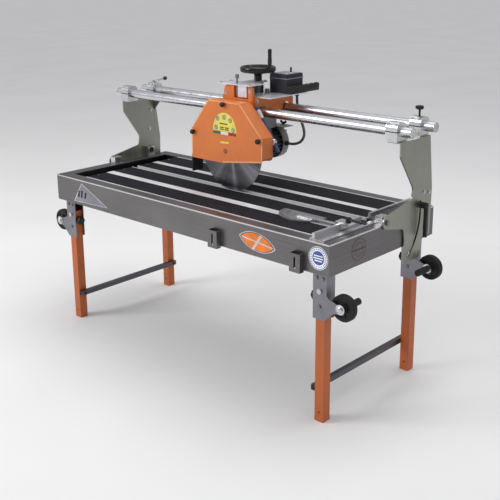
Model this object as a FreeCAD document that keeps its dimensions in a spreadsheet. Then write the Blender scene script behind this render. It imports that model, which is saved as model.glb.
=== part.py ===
import FreeCAD, Part
import Sketcher
import math
import os
import re

# Bridge tile cutter. Sizes are in millimetres.
# Every piece is laid out from the middle of the water tray's top face: X along the tray,
# Y towards the rear, Z up. seat() then lifts the piece to its height above the floor.

SIZES = {
    # whole machine
    "table_height": 708, "centre_shift": -12.5, "carriage_x": 8,
    # water tray
    "tray_length": 1600, "tray_width": 676, "tray_depth": 118, "sheet": 2, "rim": 52, "lip": 8,
    "drain_radius": 20, "drain_x": -520, "drain_y": 230,
    # cross supports inside the tray
    "support_pitch": 400, "support_wide": 30, "support_deep": 70, "notch_deep": 60,
    "notch_front": -22, "notch_rear": 52, "support_sheet": 3,
    # table slats and strips
    "slat_deep": 12, "slat_left": -650, "slat_right": 744, "slat_gap": 0.5, "proud": 0.6,
    "edge_front": -284, "edge_wide": 5, "strip_front": -146, "strip_rear": 134,
    "strip_front_wide": 40, "strip_rear_wide": 32, "slot_front": -10, "slot_rear": 22,
    "slot_edge": 4, "strip_right": 699, "screw_radius": 5, "screw_rise": 2, "screw_inset": 14,
    # hook pockets on the front wall
    "pocket_left": 247, "pocket_right": 662, "pocket_wide": 50, "pocket_reach": 23,
    "pocket_top": -55, "pocket_tall": 70, "pocket_sheet": 3, "pocket_slot_wide": 8,
    "pocket_slot_tall": 45,
    # end fence and its scale plate
    "fence_x": 718, "fence_foot": 36, "fence_sole": 4, "fence_web": 12, "fence_tall": 25,
    "fence_front": -325, "fence_gap_front": -45, "fence_gap_rear": 13, "fence_rear": 311,
    "scale_left": 737, "scale_wide": 28, "scale_rear": 30, "scale_sheet": 3,
    # mitre protractor
    "slide_y": -160, "slide_long": 40, "slide_wide": 30, "slide_tall": 34, "slide_play": 0.5,
    "mitre_x": 520, "mitre_y": -150, "mitre_radius": 105, "mitre_face_y": -97,
    "mitre_centre": 498, "mitre_thick": 6, "arm_wide": 24, "arm_thick": 5, "mitre_pin": 6,
    "latch_x": 747, "latch_hub": 10, "latch_tall": 16, "latch_reach": 78, "latch_thick": 5,
    # tilt pivot
    "pivot_z": 6, "pin_radius": 5, "pivot_block": 34, "pivot_block_wide": 44,
    "pivot_block_tall": 30, "stud_radius": 6, "slot_radius": 226, "stud_angle": 6,
    "slot_low_angle": -47, "slot_high_angle": 9, "slot_half": 6.4, "stud_block": 20,
    "stud_block_wide": 40, "stud_block_tall": 46, "stud_end": 832, "running": 0.06,
    # uprights
    "upright_gap": 2, "plate": 6, "boss_radius": 26, "head_front": 74, "head_rear": 277,
    "head_top": 297, "flange_reach": 57, "gusset_drop": 66, "waist_y": 170,
    "rear_bulge_y": 305, "lobe_front": 118, "lobe_rear": 243, "lobe_low": -185,
    "step_z": -105,
    # bridge tubes and clamps
    "bar_radius": 20, "bar_wall": 4, "bar_half": 847, "bar_front_y": 90, "bar_rear_y": 250,
    "bar_z": 335, "clamp_x": 771, "clamp_long": 52, "clamp_wide": 62, "clamp_rise": 36,
    # clamp lever, star knob and ball lever
    "lever_hub": 13, "lever_hub_long": 30, "lever_start": 812, "lever_arm": 16,
    "lever_arm_thick": 14, "lever_drop": 120, "star_radius": 17, "star_stem": 4,
    "star_stem_tall": 24, "star_tall": 16, "ball_radius": 10, "ball_rod": 4, "ball_reach": 84,
    "ball_rise": 22, "ball_hub": 9, "ball_hub_tall": 10,
    # legs and their brackets
    "leg_x": 742, "leg_front": -290, "leg_rear": 280, "leg_side": 40, "leg_wall": 2.5,
    "leg_pivot_z": -190, "leg_crown": 16, "leg_hole": 4, "leg_hole_z": -670,
    "crossbar_z": -580, "crossbar_tall": 22, "crossbar_thick": 20, "crossbar_wall": 2,
    "crossbar_over": 18, "bracket_sheet": 4, "bracket_play": 0.5, "bracket_half": 31,
    "bracket_foot": -298, "web_foot": -225, "lobe_half": 14, "bolt_radius": 6,
    "bolt_head": 10, "bolt_head_tall": 6, "knob_z": -218, "knob_radius": 20, "knob_long": 30,
    "lock_pin": 5, "lock_play": 0.4,
    # wheels and grips
    "wheel_x": 834, "wheel_z": -236, "wheel_radius": 50, "wheel_wide": 28, "wheel_hub": 22,
    "wheel_dish": 6, "tyre_deep": 14, "grip_radius": 13, "grip_long": 68, "grip_gap": 4,
    # water pump
    "pump_x": -695, "pump_y": 120, "pump_wide": 76, "pump_long": 110, "pump_tall": 66,
    "pump_round": 8,
    # carriage
    "car_half": 95, "car_front": 48, "car_rear": 292, "car_low": 330, "car_top": 398,
    "car_cross_low": 361, "arch": 26, "roller_radius": 14, "roller_wide": 24, "roller_x": 73,
    "roller_shaft": 6, "roller_play": 0.2, "shelf_left": -95, "shelf_right": 167,
    "shelf_front": 60, "shelf_rear": 304, "shelf_thick": 4, "guide_low": 382,
    "guide_front": 120, "guide_rear": 220, "screw_y": 170, "post_x": 53, "post_radius": 10,
    "boss": 24, "boss_top": 447, "lift_radius": 7, "lift_play": 0.5,
    "stop_left": -105, "stop_right": 90, "stop_front": 20, "stop_mid": 112, "stop_rear": 194,
    "stop_neck": 38, "stop_thick": 4, "block_left": 12, "block_right": 62, "block_front": 30,
    "block_rear": 62, "stop_screw_x": -2, "stop_screw_y": 41, "stop_screw_radius": 4,
    "stop_screw_low": 396, "stop_knob_low": 474, "stop_knob_tall": 16, "stop_knob_radius": 8,
    "fork_left": -73, "fork_right": 88, "fork_front": 34, "fork_low": 350, "fork_top": 446,
    "fork_slot_left": -14, "fork_slot_right": 66, "fork_slot_low": 392, "fork_round": 28,
    # handwheel and its grip
    "wheel_bottom": 452, "hub_radius": 17, "hub_tall": 24, "dish_radius": 40, "rim_inner": 62,
    "rim_radius": 78, "rim_low": 490, "rim_top": 513, "wheel_web": 8, "crank_x": 68,
    "crank_low": 515, "crank_tall": 76, "crank_radius": 9, "crank_neck": 6,
    "crank_pin": 4, "crank_bore": 60,
    # switch box and push grip
    "box_left": 38, "box_right": 138, "box_front": 202, "box_rear": 308, "box_top": 482,
    "box_round": 4, "switch_x": 108, "switch_y": 262, "switch_ring": 10, "switch_rise": 5,
    "toggle_radius": 4, "toggle_tall": 20, "toggle_pivot": 2,
    "toggle_pivot_half": 6, "push_left": 142, "push_wide": 24, "push_front": 196,
    "push_rear": 386, "push_low": 402, "push_tall": 34, "push_round": 5,
    # lift slide
    "slide_half": 64, "slide_front_y": 122, "slide_rear_y": 218, "slide_low": 250,
    "slide_top": 312, "post_top": 420, "lift_top": 500,
    # blade, guard and motor
    "blade_z": 172, "blade_radius": 175, "blade_thick": 2.6, "segment_thick": 3.2,
    "segment_deep": 10, "arbor_radius": 12.5, "flange_radius": 34, "flange_thick": 8,
    "nut_radius": 16, "nut_long": 11, "guard_front": -31, "guard_rear": 30, "guard_sheet": 3,
    "guard_left": -208, "guard_right": 208, "guard_low": 118, "guard_low_right": 150,
    "guard_side": 250, "guard_top": 384, "guard_top_left": -103, "guard_top_right": 81,
    "guard_bend": -23, "guard_corner": 20, "guard_knob": 11, "guard_knob_long": 18,
    "shaft_hole": 22, "spigot_radius": 46, "motor_front": 62, "motor_rear": 252,
    "motor_core": 62, "fin_tall": 9, "fin_thick": 3, "fin_count": 24, "pad_half": 45,
    "pad_front": 130, "pad_rear": 210, "cowl_radius": 75, "cowl_rear": 302, "cowl_wall": 3,
    "cowl_chamfer": 12, "flap_thick": 6, "flap_low": 54, "flap_high": 132,
    # line laser
    "laser_radius": 9, "laser_y": 44, "laser_top_x": 108, "laser_top_z": 362,
    "laser_low_x": 232, "laser_low_z": 178, "laser_clamp": 14, "laser_clamp_share": 0.74,
    # motor lead and water hose
    "lead_radius": 6, "hose_radius": 8,
}

doc = FreeCAD.newDocument("tile_cutter")
sheet = doc.addObject("Spreadsheet::Sheet", "sizes")
for row, (alias, size) in enumerate(SIZES.items(), start=1):
    sheet.set(f"A{row}", str(size))
    sheet.setAlias(f"A{row}", alias)
doc.recompute()

NODES = {}
TURNS = {
    "x": FreeCAD.Rotation(FreeCAD.Vector(0, 1, 0), 90),
    "y": FreeCAD.Rotation(FreeCAD.Vector(1, 0, 0), -90),
    "z": FreeCAD.Rotation(),
}
PLANES = {"xy": "XY_Plane", "xz": "XZ_Plane", "yz": "YZ_Plane"}


def cells(text):
    """An expression on the sheet's cells from one written in plain alias words."""
    return re.sub(r"[a-z_]+", lambda m: f"sizes.{m[0]}" if m[0] in SIZES else m[0], str(text))


def mm(text):
    """The value of such an expression now."""
    return float(sheet.evalExpression(cells(text)))


def bind(thing, **formulas):
    for prop, text in formulas.items():
        thing.setExpression(prop, cells(text))


def place(thing, x, y, z, turn=None):
    """Puts a thing's own origin at x, y, z, bound to the sheet, after turning it."""
    thing.Placement = FreeCAD.Placement(FreeCAD.Vector(), turn or FreeCAD.Rotation())
    for axis, text in zip("xyz", (x, y, z)):
        thing.setExpression(f"Placement.Base.{axis}", cells(text))
    return thing


def box(name, x, y, z, wide, long, tall):
    block = doc.addObject("Part::Box", name)
    bind(block, Length=wide, Width=long, Height=tall)
    return place(block, x, y, z)


def rod(name, axis, x, y, z, radius, long):
    bar = doc.addObject("Part::Cylinder", name)
    bind(bar, Radius=radius, Height=long)
    return place(bar, x, y, z, TURNS[axis])


def join(name, *parts):
    result = doc.addObject("Part::MultiFuse", name)
    result.Shapes = list(parts)
    return result


def cut(name, base, *tools):
    result = doc.addObject("Part::Cut", name)
    result.Base = base
    result.Tool = tools[0] if len(tools) == 1 else join(f"{name}_tools", *tools)
    return result


def group(name, *parts):
    result = doc.addObject("Part::Compound", name)
    result.Links = list(parts)
    return result


def outline(body, name, plane, points, circles=()):
    """A closed outline whose corners, and round holes, are bound to the sheet."""
    sketch = body.newObject("Sketcher::SketchObject", name)
    role = PLANES[plane]
    sketch.AttachmentSupport = [(next(f for f in body.Origin.OriginFeatures if f.Role == role), "")]
    sketch.MapMode = "FlatFace"
    corners = [FreeCAD.Vector(mm(u), mm(v), 0) for u, v in points]
    for i, corner in enumerate(corners):
        sketch.addGeometry(Part.LineSegment(corner, corners[(i + 1) % len(corners)]), False)
    for i in range(len(corners)):
        sketch.addConstraint(Sketcher.Constraint("Coincident", i, 2, (i + 1) % len(corners), 1))
    for i, (u, v) in enumerate(points):
        for kind, text, size in (("DistanceX", u, corners[i].x), ("DistanceY", v, corners[i].y)):
            index = sketch.addConstraint(Sketcher.Constraint(kind, -1, 1, i, 1, size))
            sketch.setExpression(f"Constraints[{index}]", cells(text))
    for u, v, radius in circles:
        centre = FreeCAD.Vector(mm(u), mm(v), 0)
        ring = sketch.addGeometry(Part.Circle(centre, FreeCAD.Vector(0, 0, 1), mm(radius)), False)
        for kind, text, size in (("DistanceX", u, centre.x), ("DistanceY", v, centre.y)):
            index = sketch.addConstraint(Sketcher.Constraint(kind, -1, 1, ring, 3, size))
            sketch.setExpression(f"Constraints[{index}]", cells(text))
        index = sketch.addConstraint(Sketcher.Constraint("Radius", ring, mm(radius)))
        sketch.setExpression(f"Constraints[{index}]", cells(radius))
    return sketch


def plate(name, plane, points, thick, at=("0", "0", "0"), circles=(), rounds=()):
    """A flat piece: an outline padded along the plane's positive axis, with rounded corners."""
    body = doc.addObject("PartDesign::Body", name)
    sketch = outline(body, f"{name}_outline", plane, points, circles)
    pad = body.newObject("PartDesign::Pad", f"{name}_pad")
    pad.Profile = sketch
    pad.Reversed = plane == "xz"
    bind(pad, Length=thick)
    place(body, *at)
    doc.recompute()
    flat = {"xy": (0, 1), "xz": (0, 2), "yz": (1, 2)}[plane]
    last = pad
    for k, (radius, corners) in enumerate(rounds):
        wanted = [tuple(round(mm(text), 3) for text in points[c]) for c in corners]
        edges = []
        for i, edge in enumerate(last.Shape.Edges, start=1):
            ends = {tuple(round(vertex.Point[a], 3) for a in flat) for vertex in edge.Vertexes}
            if len(ends) == 1 and ends.pop() in wanted and edge.Length > 0:
                edges.append(f"Edge{i}")
        fillet = body.newObject("PartDesign::Fillet", f"{name}_round_{k}")
        fillet.Base = (last, edges)
        bind(fillet, Radius=radius)
        body.Tip = fillet
        doc.recompute()
        last = fillet
    return body


def turned(name, axis, points, at=("0", "0", "0")):
    """A round piece: an outline of (radius, height) corners turned about an axis."""
    body = doc.addObject("PartDesign::Body", name)
    sketch = outline(body, f"{name}_outline", "xz", points)
    spin = body.newObject("PartDesign::Revolution", f"{name}_spin")
    spin.Profile = sketch
    spin.ReferenceAxis = (sketch, ["V_Axis"])
    return place(body, *at, TURNS[axis])


def seat(label, thing, rides="table"):
    """Names a finished piece and lifts it from the layout to its place above the floor."""
    known = {path.lstrip("."): text for path, text in thing.ExpressionEngine}
    lifts = {"x": "carriage_x" if rides == "carriage" else "0", "y": "centre_shift", "z": "table_height"}
    for axis, lift in lifts.items():
        path = f"Placement.Base.{axis}"
        start = known.get(path, "0")
        thing.setExpression(path, f"({start}) + {cells(lift)}")
    thing.Label = label
    NODES[label] = thing


def make_tray():
    outside = box("tray_outside", "-tray_length/2", "-tray_width/2", "-tray_depth",
                  "tray_length", "tray_width", "tray_depth")
    hollow = box("tray_hollow", "-tray_length/2+sheet", "-tray_width/2+sheet", "-tray_depth+sheet",
                 "tray_length-2*sheet", "tray_width-2*sheet", "tray_depth-2*sheet")
    hem = box("tray_hem", "-tray_length/2+rim-sheet", "-tray_width/2+rim-sheet", "-lip",
              "tray_length-2*rim+2*sheet", "tray_width-2*rim+2*sheet", "lip")
    mouth = box("tray_mouth", "-tray_length/2+rim", "-tray_width/2+rim", "-lip-1",
                "tray_length-2*rim", "tray_width-2*rim", "lip+2")
    drain = rod("tray_drain", "z", "drain_x", "drain_y", "-tray_depth-1", "drain_radius", "sheet+2")
    shell = cut("tray_shell", outside, hollow)
    folded = join("tray_folded", shell, hem)
    seat("tray_basin", cut("tray_cut", folded, mouth, drain))


def make_supports():
    bars = []
    for i in range(4):
        x = f"support_pitch*({i}-1.5)-support_wide/2"
        bar = box(f"support_{i}", x, "-tray_width/2+sheet", "-slat_deep-support_deep",
                  "support_wide", "tray_width-2*sheet", "support_deep")
        notch = box(f"support_notch_{i}", f"{x}-1", "notch_front", "-slat_deep-notch_deep",
                    "support_wide+2", "notch_rear-notch_front", "notch_deep+1")
        hollow = box(f"support_hollow_{i}", f"{x}+support_sheet", "-tray_width/2",
                     "-slat_deep-support_deep-1", "support_wide-2*support_sheet", "tray_width",
                     "support_deep-support_sheet+1")
        bars.append(cut(f"support_cut_{i}", bar, notch, hollow))
    seat("table_crossbars", group("supports", *bars))


def slat_edges():
    """Front and rear edges of the four slats, from the front of the table to its rear."""
    return [
        ("edge_front+edge_wide+slat_gap", "strip_front-strip_front_wide/2-slat_gap"),
        ("strip_front+strip_front_wide/2+slat_gap", "slot_front-slot_edge-slat_gap"),
        ("slot_rear+slot_edge+slat_gap", "strip_rear-strip_rear_wide/2-slat_gap"),
        ("strip_rear+strip_rear_wide/2+slat_gap", "-edge_front-edge_wide-slat_gap"),
    ]


def make_table():
    slats = []
    screws = []
    for i, (front, rear) in enumerate(slat_edges()):
        slats.append(box(f"slat_{i}", "slat_left", front, "-slat_deep",
                         "slat_right-slat_left", f"({rear})-({front})", "slat_deep"))
        for k, x in enumerate(("slat_left+screw_inset", "slat_right-fence_foot-2*screw_inset")):
            screws.append(rod(f"screw_{i}_{k}", "z", x, f"(({front})+({rear}))/2", "0",
                              "screw_radius", "screw_rise"))
    strips = []
    spans = [
        ("edge_front", "edge_wide"),
        ("strip_front-strip_front_wide/2", "strip_front_wide"),
        ("slot_front-slot_edge", "slot_edge"),
        ("slot_rear", "slot_edge"),
        ("strip_rear-strip_rear_wide/2", "strip_rear_wide"),
        ("-edge_front-edge_wide", "edge_wide"),
    ]
    for i, (front, wide) in enumerate(spans):
        strips.append(box(f"strip_{i}", "slat_left", front, "-slat_deep",
                          "strip_right-slat_left", wide, "slat_deep+proud"))
    seat("table_slats", group("slats", *slats))
    seat("table_strips", group("strips", *strips))
    seat("table_screws", group("screws", *screws))


def make_pockets():
    pockets = []
    for name in ("pocket_left", "pocket_right"):
        x = f"{name}-pocket_wide/2"
        outer = box(f"{name}_outer", x, "-tray_width/2-pocket_reach", "pocket_top-pocket_tall",
                    "pocket_wide", "pocket_reach", "pocket_tall")
        inner = box(f"{name}_inner", f"{x}+pocket_sheet", "-tray_width/2-pocket_reach+pocket_sheet",
                    "pocket_top-pocket_tall-1", "pocket_wide-2*pocket_sheet", "pocket_reach",
                    "pocket_tall+2")
        slot = box(f"{name}_slot", f"{name}-pocket_slot_wide/2", "-tray_width/2-pocket_reach-1",
                   "pocket_top-pocket_tall/2-pocket_slot_tall/2", "pocket_slot_wide",
                   "pocket_sheet+2", "pocket_slot_tall")
        pockets.append(cut(f"{name}_cut", outer, inner, slot))
    seat("hook_pockets", group("pockets", *pockets))


def make_fence():
    foot_left = "fence_x-fence_foot/2"
    section = [
        (foot_left, "0"), ("fence_x+fence_foot/2", "0"),
        ("fence_x+fence_foot/2", "fence_sole"), ("fence_x+fence_web/2", "fence_sole"),
        ("fence_x+fence_web/2", "fence_tall"), ("fence_x-fence_web/2", "fence_tall"),
        ("fence_x-fence_web/2", "fence_sole"), (foot_left, "fence_sole"),
    ]
    front = plate("fence_front_bar", "xz", section, "fence_gap_front-fence_front",
                  at=("0", "fence_front", "0"))
    rear = plate("fence_rear_bar", "xz", section, "fence_rear-fence_gap_rear",
                 at=("0", "fence_gap_rear", "0"))
    scale = box("scale_plate", "scale_left", "fence_front", "0", "scale_wide",
                "scale_rear-fence_front", "scale_sheet")
    seat("stop_fence", group("fence", front, rear, scale))


def make_protractor():
    low = "slide_y-slide_long/2"
    top = "proud+fence_sole+1"
    block = box("slide_block", "fence_x-slide_wide/2", low, top, "slide_wide", "slide_long",
                f"slide_tall-({top})")
    groove = box("slide_groove", "fence_x-fence_web/2-slide_play", f"{low}-1", f"{top}-1",
                 "fence_web+2*slide_play", "slide_long+2", f"fence_tall+slide_play-({top})+1")
    ear = box("slide_ear", "fence_x+slide_wide/2", low, "fence_tall", "slide_wide", "slide_long",
              "slide_tall-fence_tall")
    arm = box("slide_arm", "mitre_x-arm_wide/2", "mitre_y-arm_wide/2", "mitre_thick+2*proud+1",
              "fence_x-slide_wide/2-mitre_x+arm_wide/2", "arm_wide", "arm_thick")
    pin = rod("mitre_pin_rod", "z", "mitre_x", "mitre_y", "2*proud", "mitre_pin",
              "mitre_thick+arm_thick+4")
    carrier = join("carrier_joined", cut("slide_cut", block, groove), ear, arm, pin)
    seat("protractor_carrier", carrier)
    disc = rod("mitre_disc", "z", "mitre_centre", "mitre_face_y", "2*proud", "mitre_radius",
               "mitre_thick")
    keep = box("mitre_keep", "mitre_centre-mitre_radius", "mitre_face_y-mitre_radius", "0",
               "2*mitre_radius", "mitre_radius", "3*mitre_thick")
    half = doc.addObject("Part::Common", "mitre_half")
    half.Base = disc
    half.Tool = keep
    bore = rod("mitre_bore", "z", "mitre_x", "mitre_y", "-1", "mitre_pin+running", "3*mitre_thick")
    slot = box("mitre_slot", "mitre_centre-mitre_radius*0.6", "mitre_face_y-mitre_radius*0.45",
               "-1", "mitre_pin", "mitre_radius*0.3", "3*mitre_thick")
    seat("protractor_plate", cut("mitre_cut", half, bore, slot))
    hub = rod("latch_hub_rod", "z", "latch_x", "slide_y", "slide_tall+slide_play", "latch_hub",
              "latch_tall")
    handle = rod("latch_handle", "x", "latch_x", "slide_y",
                 "slide_tall+slide_play+latch_tall/2", "latch_thick", "latch_reach")
    seat("protractor_latch", join("latch", hub, handle))


def tilt_point(angle, radius="slot_radius"):
    """Y and Z, as expressions, of a point on the tilt circle."""
    return f"{radius}*cos({angle})", f"pivot_z+{radius}*sin({angle})"


def make_tilt_mounts():
    blocks = []
    studs = []
    stud_y, stud_z = tilt_point("stud_angle")
    for side in (-1, 1):
        end = "tray_length/2"
        low = "-pivot_block" if side > 0 else "0"
        block = box(f"pivot_block_{side + 1}", f"{side}*{end}+({low})", "-pivot_block_wide/2", "0",
                    "pivot_block", "pivot_block_wide", "pivot_block_tall")
        bore = rod(f"pivot_bore_{side + 1}", "x", f"{side}*{end}-pivot_block-1", "0", "pivot_z",
                   "pin_radius", "2*pivot_block+2")
        blocks.append(cut(f"pivot_cut_{side + 1}", block, bore))
        low = "-stud_block" if side > 0 else "0"
        block = box(f"stud_block_{side + 1}", f"{side}*{end}+({low})", f"{stud_y}-stud_block_wide/2",
                    "0", "stud_block", "stud_block_wide", "stud_block_tall")
        bore = rod(f"stud_bore_{side + 1}", "x", f"{side}*{end}-stud_block-1", stud_y, stud_z,
                   "stud_radius", "2*stud_block+2")
        blocks.append(cut(f"stud_cut_{side + 1}", block, bore))
        face = f"({end}+upright_gap+plate+1)"
        reach = f"({face}-{end}+pivot_block)"
        start = f"{end}-pivot_block" if side > 0 else f"-{face}"
        pin = rod(f"pin_{side + 1}", "x", start, "0", "pivot_z", "pin_radius", reach)
        start = face if side > 0 else f"-{face}-bolt_head_tall"
        head = rod(f"pin_head_{side + 1}", "x", start, "0", "pivot_z", "bolt_head", "bolt_head_tall")
        studs.append(join(f"pin_joined_{side + 1}", pin, head))
        start = f"{end}-stud_block" if side > 0 else "-stud_end"
        studs.append(rod(f"stud_{side + 1}", "x", start, stud_y, stud_z, "stud_radius",
                         f"stud_end-{end}+stud_block"))
    seat("pivot_blocks", group("tilt_blocks", *blocks))
    seat("tilt_studs", group("tilt_pins", *studs))


def make_tilt_lever(side, name):
    stud_y, stud_z = tilt_point("stud_angle")
    start = "lever_start" if side > 0 else "-lever_start-lever_hub_long"
    hub = rod(f"{name}_hub", "x", start, stud_y, stud_z, "lever_hub", "lever_hub_long")
    start = "lever_start-1" if side > 0 else "-stud_end-1"
    bore = rod(f"{name}_bore", "x", start, stud_y, stud_z, "stud_radius+running",
               "stud_end-lever_start+2")
    start = "lever_start+lever_hub_long-lever_arm_thick"
    start = start if side > 0 else f"-({start})-lever_arm_thick"
    arm = box(f"{name}_arm", start, f"{stud_y}-lever_arm/2", f"{stud_z}-lever_drop",
              "lever_arm_thick", "lever_arm", "lever_drop")
    tip = rod(f"{name}_tip", "x", start, stud_y, f"{stud_z}-lever_drop", "lever_arm/2",
              "lever_arm_thick")
    seat(name, cut(f"{name}_cut", join(f"{name}_joined", hub, arm, tip), bore))


def make_upright(side, name):
    outer = "tray_length/2+upright_gap"
    start = outer if side > 0 else f"-({outer})-plate"
    corners = [
        ("0", "pivot_z-boss_radius"), ("lobe_front-plate", "-44"), ("lobe_front+2", "step_z+15"),
        ("lobe_front", "lobe_low"), ("lobe_rear-15", "lobe_low"), ("lobe_rear", "lobe_low+30"),
        ("lobe_rear", "step_z"), ("rear_bulge_y-4", "step_z"), ("rear_bulge_y", "85"),
        ("head_rear", "head_top"), ("head_front", "head_top"), ("head_front+1", "240"),
        ("waist_y", "105"), ("waist_y-8", "62"), ("0", "pivot_z+boss_radius"),
        ("-boss_radius", "pivot_z+boss_radius"), ("-boss_radius", "pivot_z-boss_radius"),
    ]
    rounds = [("boss_radius-1", (15, 16)), ("30", (12,)), ("16", (13, 1)), ("10", (4, 5, 7, 11))]
    face = plate(f"{name}_plate", "yz", corners, "plate", at=(start, "0", "0"),
                 circles=[("0", "pivot_z", "pin_radius+running")], rounds=rounds)
    start = f"{outer}-flange_reach" if side > 0 else f"-({outer})"
    flange = box(f"{name}_flange", start, "head_front", "head_top-plate", "flange_reach",
                 "head_rear-head_front", "plate")
    inner = f"{side}*({outer})"
    gusset = plate(f"{name}_gusset", "xz", [
        (inner, "head_top-plate"), (inner, "head_top-plate-gusset_drop"),
        (f"{side}*({outer}-flange_reach)", "head_top-plate"),
    ], "plate", at=("0", "head_rear-plate", "0"))
    sweep = "slot_high_angle-slot_low_angle"
    rings = []
    for ring, radius in (("outer", "slot_radius+slot_half"), ("inner", "slot_radius-slot_half")):
        disc = doc.addObject("Part::Cylinder", f"{name}_slot_{ring}")
        bind(disc, Radius=radius, Height="3*plate", Angle=sweep)
        around = FreeCAD.Rotation(FreeCAD.Vector(1, 0, 0), 90 + mm("slot_low_angle"))
        turn = around.multiply(TURNS["x"])
        rings.append(place(disc, f"{side}*({outer})-1.5*plate", "0", "pivot_z", turn))
    arc = cut(f"{name}_slot_arc", *rings)
    ends = []
    for end in ("slot_low_angle", "slot_high_angle"):
        y, z = tilt_point(end)
        ends.append(rod(f"{name}_{end}", "x", f"{side}*({outer})-1.5*plate", y, z, "slot_half",
                        "3*plate"))
    seat(name, cut(f"{name}_cut", join(f"{name}_joined", face, flange, gusset), arc, *ends))


def make_bridge():
    bars = []
    clamps = []
    for y in ("bar_front_y", "bar_rear_y"):
        outer = rod(f"{y}_outer", "x", "-bar_half", y, "bar_z", "bar_radius", "2*bar_half")
        inner = rod(f"{y}_inner", "x", "-bar_half-1", y, "bar_z", "bar_radius-bar_wall",
                    "2*bar_half+2")
        bars.append(cut(f"{y}_tube", outer, inner))
        for side in (-1, 1):
            section = [
                (f"{y}-clamp_wide/2", "head_top"), (f"{y}+clamp_wide/2", "head_top"),
                (f"{y}+clamp_wide/2", "bar_z+clamp_rise"), (f"{y}-clamp_wide/2", "bar_z+clamp_rise"),
            ]
            clamps.append(plate(f"clamp_{y}_{side + 1}", "yz", section, "clamp_long",
                                at=(f"{side}*clamp_x-clamp_long/2", "0", "0"),
                                circles=[(y, "bar_z", "bar_radius")], rounds=[("24", (2, 3))]))
    seat("bridge_tubes", group("bars", *bars))
    seat("tube_clamps", group("clamps", *clamps))
    make_star_knob()
    make_ball_lever()


def make_star_knob():
    top = "bar_z+clamp_rise"
    corners = [
        ("0", "0"), ("star_stem", "0"), ("star_stem", "star_stem_tall"),
        ("star_radius*0.5", "star_stem_tall"), ("star_radius", "star_stem_tall+star_tall*0.4"),
        ("star_radius", "star_stem_tall+star_tall"), ("0", "star_stem_tall+star_tall"),
    ]
    seat("star_knob", turned("star", "z", corners, at=("clamp_x", "bar_rear_y", top)))


def make_ball_lever():
    top = "bar_z+clamp_rise"
    hub = rod("ball_hub_rod", "z", "-clamp_x", "bar_rear_y", top, "ball_hub", "ball_hub_tall")
    ball = doc.addObject("Part::Sphere", "ball")
    bind(ball, Radius="ball_radius")
    place(ball, "-clamp_x+ball_reach", "bar_rear_y", f"{top}+ball_hub_tall/2+ball_rise")
    slope = math.degrees(math.atan2(mm("ball_rise"), mm("ball_reach")))
    arm = doc.addObject("Part::Cylinder", "ball_arm")
    bind(arm, Radius="ball_rod", Height="sqrt(ball_reach*ball_reach+ball_rise*ball_rise)")
    place(arm, "-clamp_x", "bar_rear_y", f"{top}+ball_hub_tall/2",
          FreeCAD.Rotation(FreeCAD.Vector(0, 1, 0), 90 - slope))
    seat("ball_lever", join("ball_lever_joined", hub, arm, ball))


def leg_spots():
    return [(side, y) for side in (-1, 1) for y in ("leg_front", "leg_rear")]


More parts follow.
